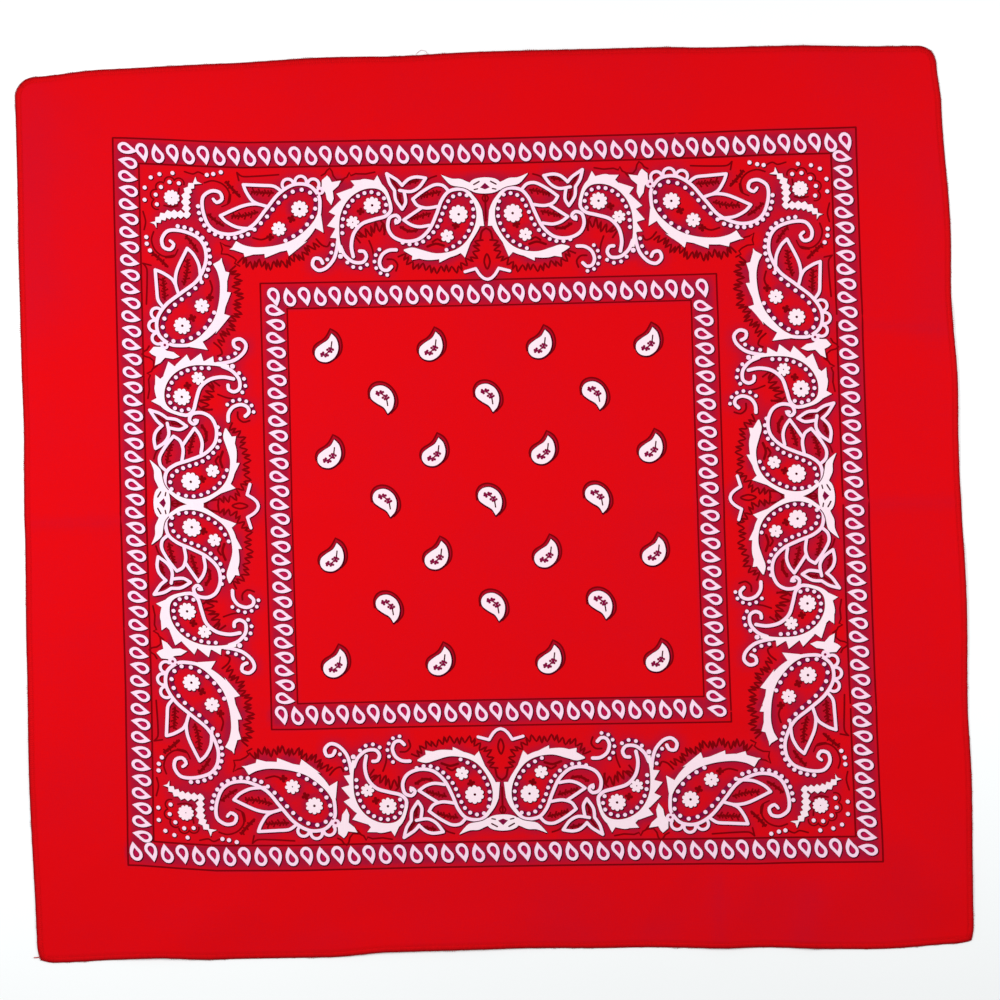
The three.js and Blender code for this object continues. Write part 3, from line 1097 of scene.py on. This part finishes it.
def draw_frame_lines():
    for half, width in FRAME_LINES:
        corners = ((-half, -half), (half, -half), (half, half), (-half, half))
        for first, second in zip(corners, corners[1:] + corners[:1]):
            line = []
            for k in range(FRAME_STEPS + 1):
                u = first[0] + (second[0] - first[0]) * k / FRAME_STEPS
                v = first[1] + (second[1] - first[1]) * k / FRAME_STEPS
                line.append((u, v))
            left, right = sides_of(line, [width] * len(line))
            motif["under"] += band_between(left, right)
        for corner in corners:
            ink("under", disc, corner, width / 2, sides=8)


draw_frame_lines()
place_motif([as_drawn])

# The centre: small commas in two lattices, one upright and one upside down
UPRIGHT_U = (-97, -35.5, 29, 92.5)
UPRIGHT_V = (97, 33, -29.5, -93.5)
TURNED_U = (-65, -3, 60)
TURNED_V = (65, 2.5, -61.5)
COMMA = (
    (3.1, 8.5), (0.9, 4.8), (-3.2, 2.1), (-6.5, -0.9), (-6.8, -4.9), (-4.2, -7.9), (0.4, -8.5),
    (4.9, -5.5), (6.9, -0.4), (5.9, 5.2), (3.1, 8.5),
)
COMMA_SHIFT = (0.4, -1.75)
COMMA_OUTLINE = 0.8
# The echo line runs over the comma's upper side, and over its round end where it stands on its tip.
ECHO_STANDING = (
    (-7.6, -4.4), (-8.1, -1.8), (-7.3, 1.1), (-5.3, 3.0), (-2.6, 4.5), (-0.1, 6.9), (2.4, 11.4),
)
ECHO_STANDING_BACK = ((2.4, 11.4), (6.2, 9.0), (8.5, 5.0), (9.1, 0.4), (8.0, -3.6), (5.2, -6.6))
ECHO_TURNED = (
    (-7.7, 0.6), (-8.0, 5.6), (-6.0, 9.3), (-2.6, 10.8), (1.4, 10.4), (5.0, 8.2), (7.8, 4.4),
    (9.1, 0.2), (8.6, -4.2), (5.0, -8.4),
)
ECHO_WIDTH = 1.0
BLOSSOMS = (
    ((-2.1, -2.9), (-3.2, -3.7), (-3.0, -4.8), (-0.5, -3.9), (0.6, -4.6), (-0.8, -5.1), (-1.9, -4.1)),
    ((0.4, -1.2), (3.7, -1.2), (1.6, -0.3), (2.7, -0.4), (1.4, -2.3), (2.7, -2.5), (2.1, -1.3)),
)
BLOSSOM_PETAL = 0.82


def draw_comma(middle, turned):
    """A white comma with an echo line over it and a sprig of two blossoms on it."""
    flip = -1 if turned else 1
    home = (middle[0] + COMMA_SHIFT[0], middle[1] + COMMA_SHIFT[1])

    def at(u, v):
        return home[0] + u, home[1] + v * flip

    def above(rows):
        return [(home[0] + u, home[1] + v) for u, v in rows]

    body = smooth_line([at(*p) for p in COMMA], step=1.2)[:-1]
    if turned:
        echo = smooth_line(above(ECHO_TURNED), step=1.5)
    else:
        echo = smooth_line(above(ECHO_STANDING), step=1.5)
        echo += smooth_line(above(ECHO_STANDING_BACK), step=1.5)[1:]
    motif["echo"] += patch(echo)
    motif["line"] += stroke(echo, ECHO_WIDTH, straight=True, ends=False)
    motif["outline"] += patch(body, grow=COMMA_OUTLINE)
    motif["white"] += patch(body)
    for petals in BLOSSOMS:
        for petal in petals:
            ink("hole", disc, at(*petal), BLOSSOM_PETAL, sides=7)
    ink("hole", stroke, [at(-0.6, -4.2), at(1.4, -2.0)], 0.9, straight=True, ends=False)
    ink("detail", stroke, [at(2.6, -0.2), at(2.9, 1.6), at(3.2, 3.9)], 0.8, ends=False)


for middle_u in UPRIGHT_U:
    for middle_v in UPRIGHT_V:
        draw_comma((middle_u, middle_v), False)
for middle_u in TURNED_U:
    for middle_v in TURNED_V:
        draw_comma((middle_u, middle_v), True)
place_motif([as_drawn])

# How the flat print lies on the cloth, which is stretched a little out of square: at places along
# each side, how far that side of the print lies outside its straight line
PRINT_SCALE = (1.0077, 0.983)
PRINT_MIDDLE = (2.15, 2.75)
PRINT_HALF = 220.0
PRINT_SIDES = {
    "back": (
        (-217, 7.9), (-190, 5.9), (-167, 4.0), (-143, 2.4), (-71, 1.1), (0, -0.2), (120, -1.0),
        (165, -0.6), (217, -1.0),
    ),
    "front": (
        (-217, 8.3), (-192, 5.5), (-169, 3.2), (-121, 1.6), (-50, 0.9), (33, -0.6), (117, -2.6),
        (217, -4.7),
    ),
    "left": ((-217, -3.4), (-113, -1.4), (-18, -0.8), (77, 0.5), (172, 1.5), (217, 2.1)),
    "right": ((-217, 1.2), (-150, 0.6), (-75, 0.1), (217, 0.1)),
}


def on_cloth(u, v):
    """Where a place of the flat print lies on the cloth, in the part's frame."""
    right_share = (u / PRINT_HALF + 1) / 2
    back_share = (v / PRINT_HALF + 1) / 2
    x = PRINT_MIDDLE[0] + PRINT_SCALE[0] * u
    x += right_share * even(PRINT_SIDES["right"], v) + (1 - right_share) * even(PRINT_SIDES["left"], v)
    y = PRINT_MIDDLE[1] + PRINT_SCALE[1] * v
    y += back_share * even(PRINT_SIDES["back"], u) + (1 - back_share) * even(PRINT_SIDES["front"], u)
    return x, y


def all_polygons():
    """Every printed polygon in the order of printing, as (ink, points on the cloth)."""
    ordered = [("maroon", p) for p in print_shapes["under"]]
    for layer in LAYERS[1:]:
        shift = OUTLINE_SHIFT if layer == "outline" else (0.0, 0.0)
        for polygon in print_shapes[layer]:
            ordered.append((INKS[layer], [(u + shift[0], v + shift[1]) for u, v in polygon]))
    laid = []
    for name, polygon in ordered:
        placed = [on_cloth(u, v) for u, v in polygon]
        if area_of(placed) < 0:
            placed.reverse()
        laid.append((name, placed))
    return laid


GRID_STEP = 4.0
GRID_MARGIN = 4
# The grid's points are moved a little from their rows: how far, and the turn per column and row
GRID_JOG = (0.37, 12.9898, 78.233)
# A shape that covers more than this share of its own area, and this much besides, has spilt.
SPILT_SHARE = 1.3
SPILT_ROOM = 0.3
SAME_PLACE = 0.004
SMALLEST_PIECE = 0.002


def build_print():
    """Cuts all overlapping shapes into one net of triangles, each in the last ink laid on it."""
    points = []
    faces = []
    inks = []
    known = {}

    def number(place):
        key = (round(place[0] / SAME_PLACE), round(place[1] / SAME_PLACE))
        if key not in known:
            known[key] = len(points)
            points.append(Vector((place[0], place[1])))
        return known[key]

    for name, polygon in all_polygons():
        ring = []
        for place in polygon:
            index = number(place)
            if index not in ring:
                ring.append(index)
        if len(ring) < 3:
            continue
        size = area_of([tuple(points[index]) for index in ring])
        if abs(size) < SMALLEST_PIECE:
            continue
        if size < 0:
            ring.reverse()
        faces.append(ring)
        inks.append(name)
    steps = int(2 * (PRINT_HALF + GRID_MARGIN) / GRID_STEP)
    for i in range(steps + 1):
        for j in range(steps + 1):
            jog = GRID_JOG[0] * math.sin(i * GRID_JOG[1] + j * GRID_JOG[2])
            u = -PRINT_HALF - GRID_MARGIN + i * GRID_STEP + jog
            v = -PRINT_HALF - GRID_MARGIN + j * GRID_STEP - jog
            number(on_cloth(u, v))
    corners, _, triangles, _, _, sources = delaunay_2d_cdt(points, [], faces, 0, 1e-4, True)
    covered = [0.0] * len(faces)
    for triangle, source in zip(triangles, sources):
        size = abs(area_of([tuple(corners[k]) for k in triangle]))
        for index in source:
            covered[index] += size
    spilt = set()
    for index, face in enumerate(faces):
        own = abs(area_of([tuple(points[k]) for k in face]))
        if covered[index] > own * SPILT_SHARE + SPILT_ROOM:
            spilt.add(index)
    split = {}
    for triangle, source in zip(triangles, sources):
        kept = [index for index in source if index not in spilt]
        if kept:
            split.setdefault(inks[max(kept)], []).append(triangle)
    return corners, split


corners, split = build_print()
corner_x = np.array([corner[0] for corner in corners])
corner_y = np.array([corner[1] for corner in corners])
corner_z = cloth_top(corner_x, corner_y) + INK_LIFT
corner_normals = top_normals(corner_x, corner_y)


def uv_spot(part, x, y):
    """The place on a UV map whose part has this middle and this size in millimetres."""
    middle, size = part
    return middle + x / size, middle + y / size


PRINT_UV = (0.5, 600)
FACE_UV = (0.39, 750)
REVERSE_UV = (0.89, 2900)
print_pieces = []
for ink_name, (color, deep_color, roughness, slot_name) in PRINT_INKS.items():
    material = yarn_material(
        "print_" + ink_name, color, deep_color, roughness=roughness, sheen=0.01, relief=0.25
    )
    used = {}
    points = []
    faces = []
    for triangle in split.get(ink_name, []):
        face = []
        for corner in triangle:
            if corner not in used:
                used[corner] = len(points)
                points.append((corner_x[corner], corner_y[corner], corner_z[corner]))
            face.append(used[corner])
        faces.append(face)
    piece = new_mesh("print_" + ink_name, points, faces, [material])
    flat_uv(piece, lambda index, p=points: uv_spot(PRINT_UV, *p[index][:2]))
    piece.data.shade_smooth()
    piece.data.normals_split_custom_set_from_vertices([corner_normals[corner] for corner in used])
    print_pieces.append(piece)

# The cloth ends under the overlocked edge, at this share of the edge's width.
CLOTH_INSET = 0.55


def cloth_lines(half):
    """Places from edge to edge: even steps, and closer ones round the corners."""
    straight = half - CORNER_RADIUS
    count = round(2 * straight / CLOTH_STEP)
    places = [-straight + 2 * straight * k / count for k in range(count + 1)]
    rim = [straight + CORNER_RADIUS * k / RIM_LINES for k in range(1, RIM_LINES + 1)]
    return sorted([-p for p in rim] + places + rim)


def build_cloth():
    columns = cloth_lines(HALF_WIDTH)
    rows = cloth_lines(HALF_LENGTH)
    inset = EDGE_WIDTH * CLOTH_INSET
    places = np.array([cloth_point(p, q, inset) for p in columns for q in rows])
    x, y = places[:, 0], places[:, 1]
    over = [tuple(row) for row in np.stack((x, y, cloth_top(x, y)), axis=1).tolist()]
    under = [tuple(row) for row in np.stack((x, y, lift(x, y)), axis=1).tolist()]
    deep = len(rows)
    shift = len(over)
    faces = []
    for i in range(len(columns) - 1):
        for j in range(deep - 1):
            a, b, c, d = i * deep + j, (i + 1) * deep + j, (i + 1) * deep + j + 1, i * deep + j + 1
            faces.append((a, b, c, d))
    top_count = len(faces)
    for a, b, c, d in list(faces):
        faces.append((shift + a, shift + d, shift + c, shift + b))
    loop = [i * deep for i in range(len(columns))]
    loop += [(len(columns) - 1) * deep + j for j in range(1, deep)]
    loop += [i * deep + deep - 1 for i in range(len(columns) - 2, -1, -1)]
    loop += list(range(deep - 2, 0, -1))
    for first, second in zip(loop, loop[1:] + loop[:1]):
        faces.append((shift + first, shift + second, second, first))
    cloth = new_mesh("cloth", over + under, faces, [cotton, cotton_reverse])
    for index, polygon in enumerate(cloth.data.polygons):
        polygon.material_index = 1 if top_count <= index < 2 * top_count else 0
        polygon.use_smooth = index < 2 * top_count
    every = over + under

    def spot(index):
        x, y, _ = every[index]
        return uv_spot(FACE_UV if index < shift else REVERSE_UV, x, y)

    flat_uv(cloth, spot)
    return cloth, every, shift


cloth, cloth_places, top_number = build_cloth()

# Between the frame lines and close to the white motifs the red is a little deeper, from the ink
# round them.
TINT_CELL = 4.5
TINT_MOTIF = 0.8
TINT_BANDS = ((204.9, 220.0, 0.5), (119.3, 134.8, 0.46))
TINT_SOFT = 1.5
TINT_FALLOFF = 0.85
# Painted shade: where the packing creases, soft hollows and less lit places look darker, the red is
# painted deeper: middle x, y, direction in degrees, half length, half width, amount
PAINTED_SHADE_ROWS = (
    (-250, -1, -1, 40, 3.6, 0.16),
    (249, 98.5, -5, 32, 3.4, 0.14),
    (254, -6.3, -1, 36, 4.0, 0.15),
    (126.5, -241, 90, 26, 5.0, 0.13),
    (178.5, -248, 78, 22, 9.0, 0.14),
    (205, -262, 0, 45, 8.0, 0.1),
    (91.5, -256, 8, 14, 9.0, 0.12),
    (40, -256, 0, 16, 9.0, 0.07),
    (-109, -254, 4, 30, 8.0, 0.06),
    (-200, -238, -20, 18, 9.0, 0.05),
    (-267, 185, 88, 85, 15.0, 0.15),
    (-245, 190, 88, 90, 40.0, 0.07),
    (268, 150, 91, 75, 12.0, 0.12),
    (240, 170, 91, 80, 35.0, 0.04),
    (110, -243, 0, 165, 24.0, 0.08),
)
PLAIN_CENTRE = 116.0


def band_share(reach, low, high):
    inside = min(reach - low, high - reach)
    return min(1.0, max(0.0, inside / TINT_SOFT))


def off_cloth(x, y):
    """The flat print's place at a place of the cloth, to within a millimetre or so."""
    u = (x - PRINT_MIDDLE[0]) / PRINT_SCALE[0]
    v = (y - PRINT_MIDDLE[1]) / PRINT_SCALE[1]
    for _ in range(3):
        back_x, back_y = on_cloth(u, v)
        u -= back_x - x
        v -= back_y - y
    return u, v


def paint_tint_and_shade():
    cells = {}
    for polygon in print_shapes["white"] + print_shapes["pale"]:
        middle_u = sum(p[0] for p in polygon) / len(polygon)
        middle_v = sum(p[1] for p in polygon) / len(polygon)
        if max(abs(middle_u), abs(middle_v)) < PLAIN_CENTRE:
            continue
        key = (round(middle_u / TINT_CELL), round(middle_v / TINT_CELL))
        cells[key] = cells.get(key, 0.0) + abs(area_of(polygon)) / TINT_CELL**2
    layer = cloth.data.attributes.new("tint", "FLOAT", "POINT")
    values = []
    places = np.array(cloth_places)
    # The painted shade of the creases, hollows and less lit places, added to the print's tint
    painted_shade = fold_height(PAINTED_SHADE_ROWS, places[:, 0], places[:, 1])
    for index, (x, y, _) in enumerate(cloth_places):
        amount = 0.0
        u, v = off_cloth(x, y)
        reach = max(abs(u), abs(v))
        if index < top_number and PLAIN_CENTRE < reach < PRINT_HALF + TINT_SOFT:
            i, j = u / TINT_CELL, v / TINT_CELL
            for near_i in range(math.floor(i) - 1, math.floor(i) + 3):
                for near_j in range(math.floor(j) - 1, math.floor(j) + 3):
                    share = cells.get((near_i, near_j), 0.0)
                    if share:
                        gap = math.hypot(i - near_i, j - near_j)
                        amount += TINT_MOTIF * share * math.exp(-gap * gap / TINT_FALLOFF)
            for low, high, most in TINT_BANDS:
                amount += most * band_share(reach, low, high)
            if reach < TINT_BANDS[1][0]:
                amount = 0.0
        values.append(min(1.0, amount + painted_shade[index]))
    layer.data.foreach_set("value", values)


paint_tint_and_shade()

# The overlocked edges: a core of cloth and thread, wraps over it, a line of needle stitches and a
# chain at the rim
EDGE_LINES = {
    "front": lambda place, inset: cloth_point(place, -HALF_LENGTH, inset),
    "right": lambda place, inset: cloth_point(HALF_WIDTH, place, inset),
    "back": lambda place, inset: cloth_point(-place, HALF_LENGTH, inset),
    "left": lambda place, inset: cloth_point(-HALF_WIDTH, -place, inset),
}
CORE_STEP = 4.0
CORE_SECTION = (
    (0.1, 0.06), (0.95, 0.06), (1.04, 0.56), (0.78, 0.72), (0.46, 0.84), (0.2, 0.72), (0.05, 0.4),
)
WRAP_PITCH = 1.25
WRAP_LEAN = 0.55
WRAP_WIDTH = 0.46
WRAP_PATH = ((1.14, 0.5), (0.86, 0.76), (0.5, 0.94), (0.18, 0.84), (0.0, 0.46), (0.14, 0.14))
# How far the wraps reach out unevenly: waves along the edge, each a turn per millimetre and a start
WRAP_SPREAD = 0.06
WRAP_WAVES = ((0.23, 0.0), (0.087, 1.7), (0.61, 0.0))
# How unevenly the wraps are laid: along the edge, in their lean, reach, width and shade
WRAP_STRAY = 0.12
LEAN_STRAY = 0.15
BULGE_STRAY = (-0.04, 0.05)
WIDTH_STRAY = (0.88, 1.1)
SHADE_STRAY = (-0.05, 0.08)
RIM_SHADE = 0.5
NEEDLE_STITCH = 1.9
NEEDLE_WIDTH = 0.3
NEEDLE_LINE = 1.14
NEEDLE_PATH = ((-0.44, 0.5), (-0.25, 0.64), (0.25, 0.66), (0.44, 0.5))
NEEDLE_LIFT = 0.02
NEEDLE_SHADE = 0.06
CHAIN_STEP = 0.42
CHAIN_WIDTH = 0.34
# The chain's middle place across and up, and how far it swings each way
CHAIN_ACROSS = (0.045, 0.03)
CHAIN_UP = (0.62, 0.1)
# The chain at the rim is painted as dark as the rim's painted shade.
CHAIN_SHADE = 0.85
TUBE_SIDES = 4
LEAST_HEIGHT = 0.02
# A tube's stretch whose sideways part is smaller than this stands upright.
UPRIGHT = 0.05


def tube(path, width, points, faces, sides=TUBE_SIDES):
    """Adds a thin closed tube along a path to a list of points and faces."""
    start = len(points)
    for index, place in enumerate(path):
        here = Vector(place)
        before = Vector(path[max(index - 1, 0)])
        after = Vector(path[min(index + 1, len(path) - 1)])
        ahead = (after - before).normalized()
        side = ahead.cross(Vector((0, 0, 1)))
        if side.length < UPRIGHT:
            side = ahead.cross(Vector((1, 0, 0)))
        side.normalize()
        up = side.cross(ahead)
        for k in range(sides):
            angle = 2 * math.pi * (k + 0.5) / sides
            spot = here + (side * math.cos(angle) + up * math.sin(angle)) * (width / 2)
            points.append((spot.x, spot.y, max(LEAST_HEIGHT, spot.z)))
    for index in range(len(path) - 1):
        for k in range(sides):
            a = start + index * sides + k
            b = start + index * sides + (k + 1) % sides
            faces.append((a, b, b + sides, a + sides))
    faces.append(tuple(start + k for k in reversed(range(sides))))
    faces.append(tuple(start + (len(path) - 1) * sides + k for k in range(sides)))


def edge_spot(side, place, across, up):
    """A spot of the edge: along it, across from the outer rim to the inner line, and up."""
    outer = EDGE_LINES[side](place, 0.0)
    inner = EDGE_LINES[side](place, EDGE_WIDTH)
    x = outer[0] + (inner[0] - outer[0]) * across
    y = outer[1] + (inner[1] - outer[1]) * across
    return x, y, lift(x, y) + up


def painted_rim_shade(across):
    """Painted shade: the thread is painted darker towards the rim, where it turns down away from the
    light.
    """
    outward = 1 - min(1.0, across)
    return RIM_SHADE * (outward + outward**4)


def build_edge(side):
    reach = HALF_WIDTH if side in ("front", "back") else HALF_LENGTH
    rng = random.Random("edge " + side)
    points = []
    faces = []
    shades = []
    count = round(2 * reach / CORE_STEP)
    rings = len(CORE_SECTION)
    for k in range(count + 1):
        place = -reach + 2 * reach * k / count
        for across, up in CORE_SECTION:
            points.append(edge_spot(side, place, across, up))
    for k in range(count):
        for n in range(rings):
            a, b = k * rings + n, k * rings + (n + 1) % rings
            faces.append((a, b, b + rings, a + rings))
    faces.append(tuple(reversed(range(rings))))
    faces.append(tuple(count * rings + n for n in range(rings)))
    shades += [painted_rim_shade(across) for across, _ in CORE_SECTION] * (count + 1)
    wraps = round(2 * reach / WRAP_PITCH)
    for k in range(wraps):
        place = -reach + 2 * reach * (k + 0.5) / wraps + rng.uniform(-WRAP_STRAY, WRAP_STRAY)
        lean = WRAP_LEAN + rng.uniform(-LEAN_STRAY, LEAN_STRAY)
        bulge = WRAP_SPREAD * sum(math.sin(turn * place + start) for turn, start in WRAP_WAVES)
        bulge += rng.uniform(*BULGE_STRAY)
        path = []
        for across, up in WRAP_PATH:
            spot = min(reach, max(-reach, place + lean * (1 - across)))
            path.append(edge_spot(side, spot, across + bulge * (1 - min(1.0, across)), up))
        before = len(points)
        tube(path, WRAP_WIDTH * rng.uniform(*WIDTH_STRAY), points, faces)
        tone = rng.uniform(*SHADE_STRAY)
        for n in range(len(points) - before):
            across = WRAP_PATH[n // TUBE_SIDES][0]
            shades.append(tone + painted_rim_shade(across))
    stitches = round(2 * reach / NEEDLE_STITCH)
    for k in range(stitches):
        place = -reach + 2 * reach * (k + 0.5) / stitches
        path = []
        for share, up in NEEDLE_PATH:
            spot = min(reach, max(-reach, place + share * NEEDLE_STITCH))
            path.append(edge_spot(side, spot, NEEDLE_LINE, up + NEEDLE_LIFT))
        before = len(points)
        tube(path, NEEDLE_WIDTH, points, faces)
        shades += [rng.uniform(-NEEDLE_SHADE, NEEDLE_SHADE)] * (len(points) - before)
    links = round(2 * reach / CHAIN_STEP)
    path = []
    for k in range(links + 1):
        place = -reach + 2 * reach * k / links
        wave = math.sin(2 * math.pi * place / WRAP_PITCH)
        across = CHAIN_ACROSS[0] + CHAIN_ACROSS[1] * wave
        path.append(edge_spot(side, place, across, CHAIN_UP[0] + CHAIN_UP[1] * wave))
    before = len(points)
    tube(path, CHAIN_WIDTH, points, faces)
    shades += [CHAIN_SHADE] * (len(points) - before)
    edge = new_mesh("overlock_" + side, points, faces, [thread])
    edge.data.attributes.new("shade", "FLOAT", "POINT").data.foreach_set("value", shades)
    edge.data.shade_smooth()
    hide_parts("edge_" + side)
    return edge


edges = [build_edge(side) for side in EDGE_LINES]

# Loose thread ends: one at the front left corner, and a fine loop at the back edge
END_SHADE = 0.7
LOOSE_ENDS = (
    (
        "thread_end_corner",
        "left",
        265.2,
        ((0.3, 0.5), (-0.2, 0.4), (-0.7, 0.3), (-1.1, 0.3)),
        (0.0, 0.7, 1.5, 2.2),
        0.6,
    ),
    (
        "thread_end_back",
        "back",
        28.0,
        ((0.2, 0.7), (-0.7, 0.7), (-1.0, 0.5), (-0.5, 0.4), (0.2, 0.4)),
        (0.0, -1.6, -4.2, -6.6, -8.0),
        0.2,
    ),
)


def build_loose_end(name, side, place, steps, drift, width):
    points = []
    faces = []
    path = []
    for (across, up), move in zip(steps, drift):
        path.append(edge_spot(side, place - move, across, up))
    tube(path, width, points, faces, sides=5)
    end = new_mesh(name, points, faces, [thread])
    end.data.attributes.new("shade", "FLOAT", "POINT").data.foreach_set("value", [END_SHADE] * len(points))
    end.data.shade_smooth()
    return end


ends = [build_loose_end(*row) for row in LOOSE_ENDS]

# The frame's calls
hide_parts("cloth_panel")
for piece in [cloth] + print_pieces + edges + ends:
    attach(piece, "root")

# The stage: a white surface, soft studio light and the camera straight above
SURFACE_HALF = 3.0
SURFACE_LEVEL = -0.00005
PAPER_LOOK = {
    "Base Color": (0.915, 0.94, 0.945, 1),
    "Roughness": 0.9,
    "Specular IOR Level": 0.1,
    "Emission Color": (1, 1, 1, 1),
    "Emission Strength": 0.12,
}
SKY_STRENGTH = 0.39
surface_mesh = bpy.data.meshes.new("surface")
surface_mesh.from_pydata(
    [(x * SURFACE_HALF, y * SURFACE_HALF, SURFACE_LEVEL) for x, y in ((-1, -1), (1, -1), (1, 1), (-1, 1))],
    [],
    [(0, 1, 2, 3)],
)
surface = bpy.data.objects.new("surface", surface_mesh)
bpy.context.scene.collection.objects.link(surface)
paper = bpy.data.materials.new("white_surface")
paper.use_nodes = True
set_inputs(paper.node_tree.nodes["Principled BSDF"], PAPER_LOOK)
surface_mesh.materials.append(paper)

world = bpy.data.worlds.new("studio")
world.use_nodes = True
set_inputs(world.node_tree.nodes["Background"], {"Color": (1, 1, 1, 1), "Strength": SKY_STRENGTH})
bpy.context.scene.world = world

LIGHT_AIM = (-0.05, 0.0, 0.0)


def area_light(name, place, size, power):
    data = bpy.data.lights.new(name, "AREA")
    data.size = size
    data.energy = power
    light = bpy.data.objects.new(name, data)
    light.location = place
    light.rotation_euler = (Vector(LIGHT_AIM) - Vector(place)).to_track_quat("-Z", "Y").to_euler()
    bpy.context.scene.collection.objects.link(light)


area_light("key", (-0.46, 0.11, 0.64), 0.28, 3.4)
area_light("fill", (0.6, 0.1, 0.58), 0.32, 2.5)

# The camera: one photo pixel is 0.5946 mm of cloth, and the cloth lies turned by 2 degrees
VIEW_WIDTH = 0.5946
LENS = 50.0
SENSOR = 36.0
ROLL = -1.96
LOOK_AT = (0.0052, 0.0040)
camera_data = bpy.data.cameras.new("camera")
camera_data.lens = LENS
camera_data.sensor_width = SENSOR
camera = bpy.data.objects.new("camera", camera_data)
camera.location = (LOOK_AT[0], LOOK_AT[1], VIEW_WIDTH * LENS / SENSOR)
camera.rotation_euler = (0.0, 0.0, math.radians(ROLL))
bpy.context.scene.collection.objects.link(camera)
bpy.context.scene.camera = camera
bpy.context.scene.view_settings.view_transform = "Standard"
